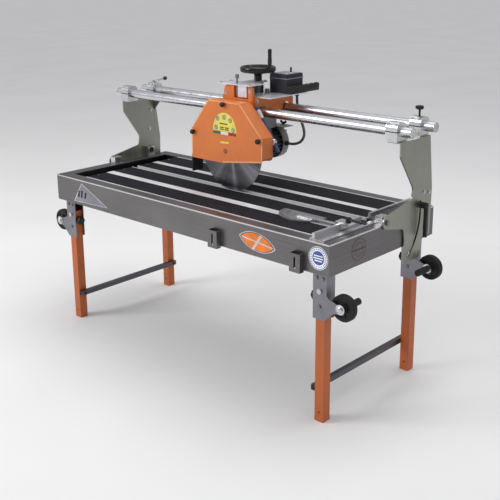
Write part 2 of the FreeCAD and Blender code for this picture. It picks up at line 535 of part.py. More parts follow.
def make_brackets():
    brackets = []
    bolts = []
    grips = []
    for side, y in leg_spots():
        tag = f"{y}_{side + 1}"
        inner = f"{side}*(leg_x-bracket_half)"
        outer = f"{side}*(leg_x+bracket_half)"
        near = f"{y}-leg_side/2-bracket_play-bracket_sheet"
        far = f"{y}+leg_side/2+bracket_play"
        lobe = [
            (inner, "-tray_depth"), (outer, "-tray_depth"), (outer, "wheel_z+lobe_half+16"),
            (f"{side}*(wheel_x-12)", "wheel_z+lobe_half"),
            (f"{side}*(wheel_x+lobe_half)", "wheel_z+lobe_half"),
            (f"{side}*(wheel_x+lobe_half)", "wheel_z-lobe_half"),
            (f"{side}*(wheel_x-30)", "wheel_z-lobe_half-10"), (outer, "bracket_foot+8"),
            (f"{side}*(leg_x+bracket_half-8)", "bracket_foot"), (inner, "bracket_foot"),
        ]
        bores = [(f"{side}*leg_x", "leg_pivot_z", "bolt_radius"),
                 (f"{side}*wheel_x", "wheel_z", "bolt_radius")]
        lobed = plate(f"bracket_lobed_{tag}", "xz", lobe, "bracket_sheet", at=("0", near, "0"),
                      circles=bores, rounds=[("lobe_half-1", (4, 5)), ("12", (2, 3, 6))])
        cheek = [(inner, "-tray_depth"), (outer, "-tray_depth"), (outer, "bracket_foot"),
                 (inner, "bracket_foot")]
        plain = plate(f"bracket_plain_{tag}", "xz", cheek, "bracket_sheet", at=("0", far, "0"),
                      circles=bores[:1], rounds=[("10", (2, 3))])
        across = "leg_side+2*bracket_play"
        web_x = f"leg_x+bracket_half-bracket_sheet" if side > 0 else "-leg_x-bracket_half"
        web = box(f"bracket_web_{tag}", web_x, f"{near}+bracket_sheet", "web_foot", "bracket_sheet",
                  across, "-tray_depth-web_foot")
        top_x = inner if side > 0 else outer
        top = box(f"bracket_top_{tag}", top_x, f"{near}+bracket_sheet", "-tray_depth-bracket_sheet",
                  "2*bracket_half", across, "bracket_sheet")
        brackets.append(join(f"bracket_{tag}", lobed, plain, web, top))
        span = "leg_side+2*bracket_play+2*bracket_sheet"
        pivot = rod(f"leg_bolt_{tag}", "y", f"{side}*leg_x", near, "leg_pivot_z", "bolt_radius", span)
        heads = [rod(f"leg_bolt_head_{tag}_{k}", "y", f"{side}*leg_x", spot, "leg_pivot_z",
                     "bolt_head", "bolt_head_tall")
                 for k, spot in enumerate((f"{near}-bolt_head_tall", f"{far}+bracket_sheet"))]
        bolts.append(join(f"leg_bolt_joined_{tag}", pivot, *heads))
        front = y == "leg_front"
        axle_low = f"{near}-bolt_head_tall" if front else f"{near}-grip_gap"
        axle_high = f"{y}+wheel_wide/2+grip_gap" if front else f"{y}+wheel_wide/2+bolt_head_tall+1"
        axle = rod(f"axle_{tag}", "y", f"{side}*wheel_x", axle_low, "wheel_z", "bolt_radius",
                   f"({axle_high})-({axle_low})")
        head_y = axle_low if front else f"({axle_high})-bolt_head_tall"
        head = rod(f"axle_head_{tag}", "y", f"{side}*wheel_x", head_y, "wheel_z", "bolt_head",
                   "bolt_head_tall")
        bolts.append(join(f"axle_joined_{tag}", axle, head))
        grip_y = axle_high if front else f"({axle_low})-grip_long"
        grips.append(rod(f"grip_{tag}", "y", f"{side}*wheel_x", grip_y, "wheel_z", "grip_radius",
                         "grip_long"))
    seat("leg_brackets", group("brackets", *brackets))
    seat("bracket_bolts", group("bracket_bolt_group", *bolts))
    seat("lift_grips", group("grips", *grips))


def make_wheel(side, y, name):
    half = "wheel_wide/2"
    corners = [
        ("bolt_radius+running", f"-{half}"), ("wheel_hub", f"-{half}"),
        ("wheel_hub", f"-{half}+wheel_dish"),
        ("wheel_radius-tyre_deep", f"-{half}+wheel_dish"), ("wheel_radius-tyre_deep", f"-{half}+2"),
        ("wheel_radius-3", f"-{half}"), ("wheel_radius", f"-{half}+5"), ("wheel_radius", f"{half}-5"),
        ("wheel_radius-3", half), ("wheel_radius-tyre_deep", f"{half}-2"),
        ("wheel_radius-tyre_deep", f"{half}-wheel_dish"), ("wheel_hub", f"{half}-wheel_dish"),
        ("wheel_hub", half), ("bolt_radius+running", half),
    ]
    seat(name, turned(f"{name}_body", "y", corners, at=(f"{side}*wheel_x", y, "wheel_z")))


def make_legs(side, name):
    tubes = []
    knobs = []
    for y in ("leg_front", "leg_rear"):
        tag = f"{name}_{y}"
        x = f"{side}*leg_x-leg_side/2"
        tall = "table_height+leg_pivot_z+leg_crown"
        outer = box(f"{tag}_outer", x, f"{y}-leg_side/2", "-table_height", "leg_side", "leg_side", tall)
        inner = box(f"{tag}_inner", f"{x}+leg_wall", f"{y}-leg_side/2+leg_wall", "-table_height-1",
                    "leg_side-2*leg_wall", "leg_side-2*leg_wall", f"{tall}+2")
        pivot = rod(f"{tag}_pivot", "y", f"{side}*leg_x", f"{y}-leg_side", "leg_pivot_z",
                    "bolt_radius+running", "2*leg_side")
        low = rod(f"{tag}_low", "y", f"{side}*leg_x", f"{y}-leg_side", "leg_hole_z", "leg_hole",
                  "2*leg_side")
        latch = rod(f"{tag}_latch", "x", f"{side}*leg_x-leg_side", y, "knob_z",
                    "lock_pin+lock_play", "2*leg_side")
        tubes.append(cut(tag, outer, inner, pivot, low, latch))
        face = "leg_x-leg_side/2"
        knob_x = f"{face}-knob_long" if side > 0 else f"-({face})"
        knob = rod(f"{tag}_knob", "x", knob_x, y, "knob_z", "knob_radius", "knob_long")
        pin_x = face if side > 0 else f"-({face})-leg_side"
        pin = rod(f"{tag}_pin", "x", pin_x, y, "knob_z", "lock_pin", "leg_side")
        knobs.append(join(f"{tag}_lock", knob, pin))
    seat(f"{name}_legs", group(f"{name}_tubes", *tubes))
    seat(f"{name}_lock_knobs", group(f"{name}_locks", *knobs))
    face = "leg_x-leg_side/2"
    x = f"{face}-crossbar_thick" if side > 0 else f"-({face})"
    start = "leg_front-crossbar_over"
    long = "leg_rear-leg_front+2*crossbar_over"
    outer = box(f"{name}_bar_outer", x, start, "crossbar_z-crossbar_tall/2", "crossbar_thick", long,
                "crossbar_tall")
    inner = box(f"{name}_bar_inner", f"{x}+crossbar_wall", f"{start}-1",
                "crossbar_z-crossbar_tall/2+crossbar_wall", "crossbar_thick-2*crossbar_wall",
                f"{long}+2", "crossbar_tall-2*crossbar_wall")
    seat(f"{name}_crossbar", cut(f"{name}_bar", outer, inner))


def make_pump():
    half = "pump_wide/2"
    foot = [(f"pump_x-{half}", "pump_y-pump_long/2"), (f"pump_x+{half}", "pump_y-pump_long/2"),
            (f"pump_x+{half}", "pump_y+pump_long/2"), (f"pump_x-{half}", "pump_y+pump_long/2")]
    seat("water_pump", plate("pump", "xy", foot, "pump_tall", at=("0", "0", "sheet-tray_depth"),
                             rounds=[("pump_round", (0, 1, 2, 3))]))


def make_carriage():
    plates = []
    for side in (-1, 1):
        x = "car_half-plate" if side > 0 else "-car_half"
        plates.append(box(f"car_side_{side + 1}", x, "car_front", "car_low", "plate",
                          "car_rear-car_front", "car_top-car_low"))
    for k, y in enumerate(("car_front", "car_rear-plate")):
        plates.append(box(f"car_cross_{k}", "-car_half", y, "car_cross_low", "2*car_half", "plate",
                          "car_top-car_cross_low"))
    tools = [rod(f"car_arch_{y}", "x", "-car_half-1", y, "bar_z", "arch", "2*car_half+2")
             for y in ("bar_front_y", "bar_rear_y")]
    shaft_z = "bar_z+bar_radius+roller_radius+roller_play"
    for side in (-1, 1):
        tools.append(rod(f"car_shaft_hole_{side + 1}", "y", f"{side}*roller_x", "car_front-1", shaft_z,
                         "roller_shaft+running", "car_rear-car_front+2"))
        name = "left_rollers" if side < 0 else "right_rollers"
        parts = [rod(f"{name}_shaft", "y", f"{side}*roller_x", "car_front", shaft_z, "roller_shaft",
                     "car_rear-car_front")]
        for y in ("bar_front_y", "bar_rear_y"):
            parts.append(rod(f"{name}_{y}", "y", f"{side}*roller_x", f"{y}-roller_wide/2", shaft_z,
                             "roller_radius", "roller_wide"))
        seat(name, join(name, *parts), "carriage")
    seat("carriage_frame", cut("car_frame", join("car_plates", *plates), *tools), "carriage")
    shelf = box("shelf_sheet", "shelf_left", "shelf_front", "car_top", "shelf_right-shelf_left",
                "shelf_rear-shelf_front", "shelf_thick")
    holes = [rod(f"shelf_post_{side + 1}", "z", f"{side}*post_x", "screw_y", "car_top-1",
                 "post_radius+1", "shelf_thick+2") for side in (-1, 1)]
    holes.append(rod("shelf_boss", "z", "0", "screw_y", "car_top-1", "boss", "shelf_thick+2"))
    holes.append(box("shelf_block", "block_left", "shelf_front-1", "car_top-1",
                     "block_right-block_left", "block_rear-shelf_front+1", "shelf_thick+2"))
    seat("carriage_shelf", cut("shelf", shelf, *holes), "carriage")
    block = box("guide_slab", "-car_half+plate", "guide_front", "guide_low", "2*(car_half-plate)",
                "guide_rear-guide_front", "car_top-guide_low")
    boss = rod("guide_boss", "z", "0", "screw_y", "car_top", "boss", "boss_top-car_top")
    bores = [rod(f"guide_bore_{side + 1}", "z", f"{side}*post_x", "screw_y", "guide_low-1",
                 "post_radius+running", "car_top-guide_low+2") for side in (-1, 1)]
    bores.append(rod("guide_screw", "z", "0", "screw_y", "guide_low-1", "lift_radius+lift_play",
                     "boss_top-guide_low+2"))
    seat("guide_block", cut("guide", join("guide_joined", block, boss), *bores), "carriage")
    make_stop()
    make_fork()


def make_stop():
    shape = [
        ("stop_left", "stop_front"), ("stop_right", "stop_front"), ("stop_right", "stop_mid"),
        ("stop_neck", "stop_mid"), ("stop_neck", "stop_rear"), ("-stop_neck", "stop_rear"),
        ("-stop_neck", "stop_mid"), ("stop_left", "stop_mid"),
    ]
    holes = [("0", "screw_y", "lift_radius+lift_play"),
             ("stop_screw_x", "stop_screw_y", "stop_screw_radius+running")]
    top = plate("stop_top", "xy", shape, "stop_thick", at=("0", "0", "boss_top"), circles=holes,
                rounds=[("8", (0, 1, 4, 5, 7))])
    block = box("stop_lug", "block_left", "block_front", "car_top", "block_right-block_left",
                "block_rear-block_front", "boss_top-car_top")
    seat("stop_plate", join("stop_joined", top, block), "carriage")
    corners = [
        ("0", "stop_screw_low"), ("stop_screw_radius", "stop_screw_low"),
        ("stop_screw_radius", "stop_knob_low"), ("stop_knob_radius", "stop_knob_low"),
        ("stop_knob_radius", "stop_knob_low+stop_knob_tall"),
        ("0", "stop_knob_low+stop_knob_tall"),
    ]
    seat("stop_screw", turned("stop_screw_body", "z", corners,
                              at=("stop_screw_x", "stop_screw_y", "0")), "carriage")


def make_fork():
    shape = [
        ("fork_left", "fork_low"), ("fork_right", "fork_low"), ("fork_right", "fork_top"),
        ("fork_slot_right", "fork_top"), ("fork_slot_right", "fork_slot_low"),
        ("fork_slot_left", "fork_slot_low"), ("fork_slot_left", "fork_top"),
        ("fork_left", "fork_top"),
    ]
    seat("front_fork", plate("fork", "xz", shape, "car_front-fork_front",
                             at=("0", "fork_front", "0"),
                             rounds=[("fork_round", (7,)), ("fork_round/2", (2,))]), "carriage")


def make_handwheel():
    corners = [
        ("lift_radius+lift_play", "wheel_bottom"), ("hub_radius", "wheel_bottom"),
        ("hub_radius", "wheel_bottom+hub_tall"), ("dish_radius", "rim_low-2"),
        ("rim_inner", "rim_low"), ("rim_radius-4", "rim_low-2"), ("rim_radius", "rim_low+6"),
        ("rim_radius", "rim_top-5"), ("rim_radius-5", "rim_top"), ("rim_inner", "rim_top"),
        ("rim_inner-4", "rim_low+wheel_web"), ("dish_radius", "rim_low-2+wheel_web"),
        ("lift_radius+lift_play", "rim_low-2+wheel_web"),
    ]
    stud = rod("crank_stud", "z", "crank_x", "screw_y", "rim_top-1", "crank_pin",
               "crank_low+crank_bore-rim_top")
    wheel = turned("handwheel_body", "z", corners, at=("0", "screw_y", "0"))
    seat("handwheel", join("handwheel_joined", wheel, stud), "carriage")
    corners = [
        ("0", "crank_low"), ("crank_neck", "crank_low"), ("crank_radius", "crank_low+12"),
        ("crank_radius*0.9", "crank_low+crank_tall*0.6"), ("crank_radius", "crank_low+crank_tall-8"),
        ("crank_radius*0.6", "crank_low+crank_tall"), ("0", "crank_low+crank_tall"),
    ]
    bore = rod("crank_bore_rod", "z", "crank_x", "screw_y", "crank_low-1", "crank_pin+running",
               "crank_bore+2")
    crank = turned("crank", "z", corners, at=("crank_x", "screw_y", "0"))
    seat("handwheel_grip", cut("crank_cut", crank, bore), "carriage")


def make_switch():
    foot = [("box_left", "box_front"), ("box_right", "box_front"), ("box_right", "box_rear"),
            ("box_left", "box_rear")]
    low = "car_top+shelf_thick"
    case = plate("switch_case", "xy", foot, f"box_top-({low})", at=("0", "0", low),
                 rounds=[("box_round", (0, 1, 2, 3))])
    ring = rod("switch_ring_rod", "z", "switch_x", "switch_y", "box_top", "switch_ring",
               "switch_rise")
    seat("switch_box", join("switch_joined", case, ring), "carriage")
    lever = rod("toggle", "z", "switch_x", "switch_y", "box_top+switch_rise+1.5",
                "toggle_radius", "toggle_tall")
    pivot = rod("toggle_pivot", "x", "switch_x-toggle_pivot_half", "switch_y",
                "box_top+switch_rise+2.5", "toggle_pivot", "2*toggle_pivot_half")
    seat("switch_toggle", join("toggle_joined", lever, pivot), "carriage")
    side = [("push_front", "push_low"), ("push_rear", "push_low"),
            ("push_rear", "push_low+push_tall"), ("push_front", "push_low+push_tall")]
    seat("push_grip", plate("push", "yz", side, "push_wide", at=("push_left", "0", "0"),
                            rounds=[("push_round", (1, 2, 3))]), "carriage")


def make_head():
    block = box("lift_block", "-slide_half", "slide_front_y", "slide_low", "2*slide_half",
                "slide_rear_y-slide_front_y", "slide_top-slide_low")
    posts = [rod(f"lift_post_{side + 1}", "z", f"{side}*post_x", "screw_y", "slide_top",
                 "post_radius", "post_top-slide_top") for side in (-1, 1)]
    seat("lift_slide", join("lift_joined", block, *posts), "carriage")
    seat("lift_screw", rod("lift_rod", "z", "0", "screw_y", "slide_top", "lift_radius",
                           "lift_top-slide_top"), "carriage")
    make_motor()
    make_guard()
    make_blade()
    make_laser()


def make_motor():
    body = doc.addObject("PartDesign::Body", "motor_body")
    start = [("-motor_core*0.7", "-motor_core*0.7"), ("motor_core*0.7", "-motor_core*0.7"),
             ("motor_core*0.7", "motor_core*0.7"), ("-motor_core*0.7", "motor_core*0.7")]
    core = outline(body, "motor_core_outline", "xz", start)
    pad = body.newObject("PartDesign::Pad", "motor_core_pad")
    pad.Profile = core
    pad.Reversed = True
    bind(pad, Length="motor_rear-motor_front")
    fin = outline(body, "fin_outline", "xz", [
        ("-fin_thick/2", "0"), ("fin_thick/2", "0"), ("fin_thick/2", "motor_core+fin_tall"),
        ("-fin_thick/2", "motor_core+fin_tall")])
    fins = body.newObject("PartDesign::Pad", "fin_pad")
    fins.Profile = fin
    fins.Reversed = True
    bind(fins, Length="motor_rear-motor_front")
    doc.recompute()
    ring = body.newObject("PartDesign::PolarPattern", "fin_ring")
    ring.Originals = [fins]
    ring.Axis = (core, ["N_Axis"])
    ring.Angle = 360
    bind(ring, Occurrences="fin_count")
    body.Tip = ring
    place(body, "0", "motor_front", "blade_z")
    barrel = rod("motor_barrel", "y", "0", "motor_front", "blade_z", "motor_core",
                 "motor_rear-motor_front")
    spigot = rod("motor_spigot", "y", "0", "guard_rear", "blade_z", "spigot_radius",
                 "motor_front-guard_rear")
    hole = rod("motor_hole", "y", "0", "guard_rear-1", "blade_z", "shaft_hole",
               "motor_front-guard_rear+1")
    pad_box = box("motor_pad", "-pad_half", "pad_front", "blade_z", "2*pad_half",
                  "pad_rear-pad_front", "slide_low-blade_z")
    joined = join("motor_joined", body, barrel, spigot, pad_box)
    seat("motor_housing", cut("motor_cut", joined, hole), "carriage")
    corners = [
        ("0", "cowl_rear"), ("cowl_radius-cowl_chamfer", "cowl_rear"),
        ("cowl_radius", "cowl_rear-cowl_chamfer"), ("cowl_radius", "motor_rear"),
        ("cowl_radius-cowl_wall", "motor_rear"),
        ("cowl_radius-cowl_wall", "cowl_rear-cowl_chamfer-cowl_wall"),
        ("0", "cowl_rear-cowl_chamfer-cowl_wall"),
    ]
    seat("fan_cowl", turned("cowl", "y", corners, at=("0", "0", "blade_z")), "carriage")


def guard_outline(inset="0", low="guard_low"):
    return [
        (f"guard_left+{inset}", low), (f"guard_left+{inset}", "guard_side"),
        (f"guard_top_left+{inset}*0.4", f"guard_top-{inset}"),
        (f"guard_top_right-{inset}*0.4", f"guard_top-{inset}"),
        (f"guard_right-{inset}", "guard_side"),
    ]


def make_guard():
    shape = guard_outline() + [("guard_right", "guard_low_right"), ("guard_bend", "guard_low")]
    hollow = guard_outline("guard_sheet", "guard_low-20") + [
        ("guard_right-guard_sheet", "guard_low-20")]
    corners = [("guard_corner", (5,)), ("6", (1, 2, 3, 4))]
    outer = plate("guard_outer", "xz", shape, "guard_rear-guard_front",
                  at=("0", "guard_front", "0"), rounds=corners)
    inner = plate("guard_inner", "xz", hollow, "guard_rear-guard_front",
                  at=("0", "guard_front-guard_sheet", "0"))
    hole = rod("guard_hole", "y", "0", "guard_rear-2*guard_sheet", "blade_z", "shaft_hole",
               "3*guard_sheet")
    seat("guard_shell", cut("guard", outer, inner, hole), "carriage")
    seat("guard_cover", plate("cover", "xz", shape, "guard_sheet",
                              at=("0", "guard_front-guard_sheet", "0"), rounds=corners), "carriage")
    knobs = []
    spots = [("-9", "guard_top-13"), ("guard_left+14", "234"), ("guard_right-18", "239")]
    for k, (x, z) in enumerate(spots):
        knobs.append(rod(f"guard_knob_{k}", "y", x, "guard_front-guard_sheet-guard_knob_long", z,
                         "guard_knob", "guard_knob_long"))
    seat("guard_knobs", group("knobs", *knobs), "carriage")
    seat("splash_flap", box("flap", "guard_left-flap_thick", "guard_front", "flap_low",
                            "flap_thick", "guard_rear-guard_front", "flap_high-flap_low"), "carriage")


def make_blade():
    corners = [
        ("arbor_radius", "-blade_thick/2"), ("blade_radius-segment_deep", "-blade_thick/2"),
        ("blade_radius-segment_deep", "-segment_thick/2"), ("blade_radius", "-segment_thick/2"),
        ("blade_radius", "segment_thick/2"), ("blade_radius-segment_deep", "segment_thick/2"),
        ("blade_radius-segment_deep", "blade_thick/2"), ("arbor_radius", "blade_thick/2"),
    ]
    seat("blade_disc", turned("disc", "y", corners, at=("0", "0", "blade_z")), "carriage")
    edge = "blade_thick/2+flange_thick"
    corners = [
        ("0", f"-({edge})-nut_long"), ("nut_radius", f"-({edge})-nut_long"),
        ("nut_radius", f"-({edge})"), ("flange_radius", f"-({edge})"),
        ("flange_radius", "-blade_thick/2"), ("arbor_radius", "-blade_thick/2"),
        ("arbor_radius", "blade_thick/2"), ("flange_radius", "blade_thick/2"),
        ("flange_radius", edge), ("arbor_radius", edge), ("arbor_radius", "motor_front-1"),
        ("0", "motor_front-1"),
    ]
    seat("blade_arbor", turned("arbor", "y", corners, at=("0", "0", "blade_z")), "carriage")


def make_laser():
    run = mm("laser_low_x-laser_top_x")
    drop = mm("laser_top_z-laser_low_z")
    lean = 180 - math.degrees(math.atan2(run, drop))
    turn = FreeCAD.Rotation(FreeCAD.Vector(0, 1, 0), lean)
    long = "sqrt(pow(laser_low_x-laser_top_x; 2)+pow(laser_top_z-laser_low_z; 2))"
    tube = doc.addObject("Part::Cylinder", "laser_tube")
    bind(tube, Radius="laser_radius", Height=long)
    place(tube, "laser_top_x", "laser_y", "laser_top_z", turn)
    share = "laser_clamp_share"
    x = f"laser_top_x+(laser_low_x-laser_top_x)*{share}"
    z = f"laser_top_z-(laser_top_z-laser_low_z)*{share}"
    clamp = box("laser_clamp_box", f"{x}-laser_clamp", "guard_rear", f"{z}-laser_clamp",
                "2*laser_clamp", "laser_y+laser_clamp-guard_rear", "2*laser_clamp")
    seat("line_laser", join("laser", tube, clamp), "carriage")


def cord(label, radius, route):
    """A round cord: straight runs joined by tangent arcs as large as the runs allow."""
    points = [FreeCAD.Vector(*(mm(text) for text in point)) for point in route]
    edges = []
    start = points[0]
    radii = []
    for before, corner, after in zip(points, points[1:], points[2:]):
        back = (before - corner).normalize()
        ahead = (after - corner).normalize()
        turn = math.pi - back.getAngle(ahead)
        reach = 0.45 * min((before - corner).Length, (after - corner).Length)
        bend = reach / math.tan(turn / 2)
        radii.append(round(bend, 1))
        first = corner + back * reach
        last = corner + ahead * reach
        middle_way = (back + ahead).normalize()
        middle = corner + middle_way * (bend / math.cos(turn / 2) - bend)
        edges.append(Part.LineSegment(start, first).toShape())
        edges.append(Part.Arc(first, middle, last).toShape())
        start = last
    edges.append(Part.LineSegment(start, points[-1]).toShape())
    path = Part.Wire(edges)
    ring = Part.Circle(points[0], points[1] - points[0], mm(radius)).toShape()
    shape = path.makePipeShell([Part.Wire([ring])], True, True)
    print(label, "bend radii", radii, "volume ratio",
          round(shape.Volume / (math.pi * mm(radius) ** 2 * path.Length), 4))
    tube = doc.addObject("Part::Feature", f"{label}_tube")
    tube.Shape = shape
    seat(label, tube, "carriage")


def make_cords():
    cord("motor_lead", "lead_radius", [
        ("cowl_radius", "270", "171"), ("cowl_radius+26", "270", "170"),
        ("cowl_radius+58", "271", "174"), ("cowl_radius+88", "274", "190"),
        ("cowl_radius+98", "280", "221"), ("cowl_radius+84", "286", "254"),
        ("cowl_radius+62", "291", "286"), ("cowl_radius+46", "294", "326"),
        ("cowl_radius+40", "295", "364"), ("cowl_radius+40", "295", "car_top-0.2"),
    ])
    cord("water_hose", "hose_radius", [
        ("guard_left+30", "guard_rear", "226"), ("guard_left+30", "70", "226"),
        ("guard_left+16", "104", "236"), ("guard_left-8", "126", "260"),
        ("guard_left-24", "142", "296"), ("guard_left-18", "154", "332"),
        ("guard_left+8", "164", "356"), ("guard_left+48", "170", "366"),
        ("-car_half", "170", "366"),
    ])


make_tray()
make_supports()
make_table()
make_pockets()
make_fence()
make_protractor()
make_tilt_mounts()
make_tilt_lever(-1, "tilt_lever_left")
make_tilt_lever(1, "tilt_lever_right")
make_upright(-1, "upright_left")
make_upright(1, "upright_right")
make_bridge()
make_brackets()
for wheel_side, wheel_y in leg_spots():
    make_wheel(wheel_side, wheel_y,
               f"wheel_{wheel_y.split('_')[1]}_{'left' if wheel_side < 0 else 'right'}")
make_legs(-1, "left")
make_legs(1, "right")
make_pump()
make_carriage()
make_handwheel()
make_switch()
make_head()
make_cords()
doc.recompute()

for thing in doc.Objects:
    if "Invalid" in thing.State or "Error" in thing.State:
        raise RuntimeError(f"{thing.Name} failed: {thing.State}")
os.makedirs("parts", exist_ok=True)
for label, thing in NODES.items():
    if thing.Shape.isNull() or not thing.Shape.isValid():
        raise RuntimeError(f"{label} has no valid shape")
    thing.Shape.exportStep(f"parts/{label}.step")
print(len(NODES), "pieces written")
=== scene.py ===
"""Looks for a bridge tile cutter: materials for its solid pieces, and the finer pieces that they lack."""

import math

import bmesh
import bpy
from mathutils import Matrix, Vector


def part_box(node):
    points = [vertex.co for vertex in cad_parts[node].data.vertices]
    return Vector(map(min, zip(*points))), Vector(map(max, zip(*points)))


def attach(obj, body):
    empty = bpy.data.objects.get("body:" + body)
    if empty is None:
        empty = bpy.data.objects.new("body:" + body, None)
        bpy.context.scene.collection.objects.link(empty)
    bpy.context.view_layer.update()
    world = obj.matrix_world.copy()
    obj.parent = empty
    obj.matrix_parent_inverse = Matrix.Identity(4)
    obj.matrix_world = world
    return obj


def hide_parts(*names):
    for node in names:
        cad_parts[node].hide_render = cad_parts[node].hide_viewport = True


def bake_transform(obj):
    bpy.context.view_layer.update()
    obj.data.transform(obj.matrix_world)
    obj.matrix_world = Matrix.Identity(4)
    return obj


bl_info = {
    "name": "Bridge Tile Cutter",
    "version": (1, 0, 0),
    "blender": (4, 5, 0),
    "location": "View3D > Sidebar > Tile Cutter",
    "description": "Dresses a bridge tile cutter's packed frame with materials and fine pieces",
    "category": "Object",
}

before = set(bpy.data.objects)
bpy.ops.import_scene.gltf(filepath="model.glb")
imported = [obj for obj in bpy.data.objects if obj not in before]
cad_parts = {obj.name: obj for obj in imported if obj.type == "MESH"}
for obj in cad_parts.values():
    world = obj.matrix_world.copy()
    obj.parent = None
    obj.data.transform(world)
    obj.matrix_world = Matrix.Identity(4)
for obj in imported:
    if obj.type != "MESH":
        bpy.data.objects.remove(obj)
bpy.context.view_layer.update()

# The layout's origin is the middle of the water tray's top face, and lengths on it are in millimetres.
MM = 0.001
TRAY_LOW, TRAY_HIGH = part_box("tray_basin")
COWL_LOW, COWL_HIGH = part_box("fan_cowl")
TABLE = Vector(((TRAY_LOW.x + TRAY_HIGH.x) / 2, (TRAY_LOW.y + TRAY_HIGH.y) / 2, TRAY_HIGH.z))
HEAD = Vector(((COWL_LOW.x + COWL_HIGH.x) / 2, TABLE.y, TABLE.z))
SIDES = {"left": -1, "right": 1}
ENDS = {"front": -290, "rear": 280}
TUBE_ROWS, TUBE_Z, CLAMP_X = (90, 250), 335, 771
TILT_STUD = (224.8, 29.6)
BADGE = (752, -57)
WHEEL_X, WHEEL_Z, LEG_X = 834, -236, 742
BLADE_Z = 172
BLADE = HEAD + Vector((0, 0, BLADE_Z * MM))


# ---------------------------------------------------------------- sizes and colours


class CutterSizes(bpy.types.PropertyGroup):
    """Sizes of the fine pieces."""

    bolt: bpy.props.FloatProperty(
        name="Bolt", description="Radius of a small hexagon head", default=6.5 * MM, unit="LENGTH")
    screw: bpy.props.FloatProperty(
        name="Socket Screw", description="Radius of a socket head", default=6 * MM, unit="LENGTH")
    tick: bpy.props.FloatProperty(
        name="Tick", description="Width of a scale's mark", default=0.7 * MM, unit="LENGTH")
    lead: bpy.props.FloatProperty(
        name="Motor Lead", description="Radius of the motor lead", default=6 * MM, unit="LENGTH")
    hose: bpy.props.FloatProperty(
        name="Water Hose", description="Radius of the water hose", default=8 * MM, unit="LENGTH")


class CutterColours(bpy.types.PropertyGroup):
    """Colours of the main finishes."""

    paint: bpy.props.FloatVectorProperty(
        name="Paint", description="Orange of the guard and carriage", subtype="COLOR", size=3,
        default=(0.78, 0.2, 0.032), min=0, max=1)
    legs: bpy.props.FloatVectorProperty(
        name="Leg Paint", description="Orange of the legs", subtype="COLOR", size=3,
        default=(0.52, 0.12, 0.024), min=0, max=1)
    # The tray's dark steel colour is painted shade: darker than bare steel, standing in for dark surroundings
    # mirrored in it.
    tray: bpy.props.FloatVectorProperty(
        name="Tray", description="Brushed steel of the water tray", subtype="COLOR", size=3,
        default=(0.19, 0.18, 0.185), min=0, max=1)
    rubber: bpy.props.FloatVectorProperty(
        name="Rubber", description="Black of the slats, tyres and hoses", subtype="COLOR", size=3,
        default=(0.01, 0.01, 0.011), min=0, max=1)


# ---------------------------------------------------------------- mesh tools


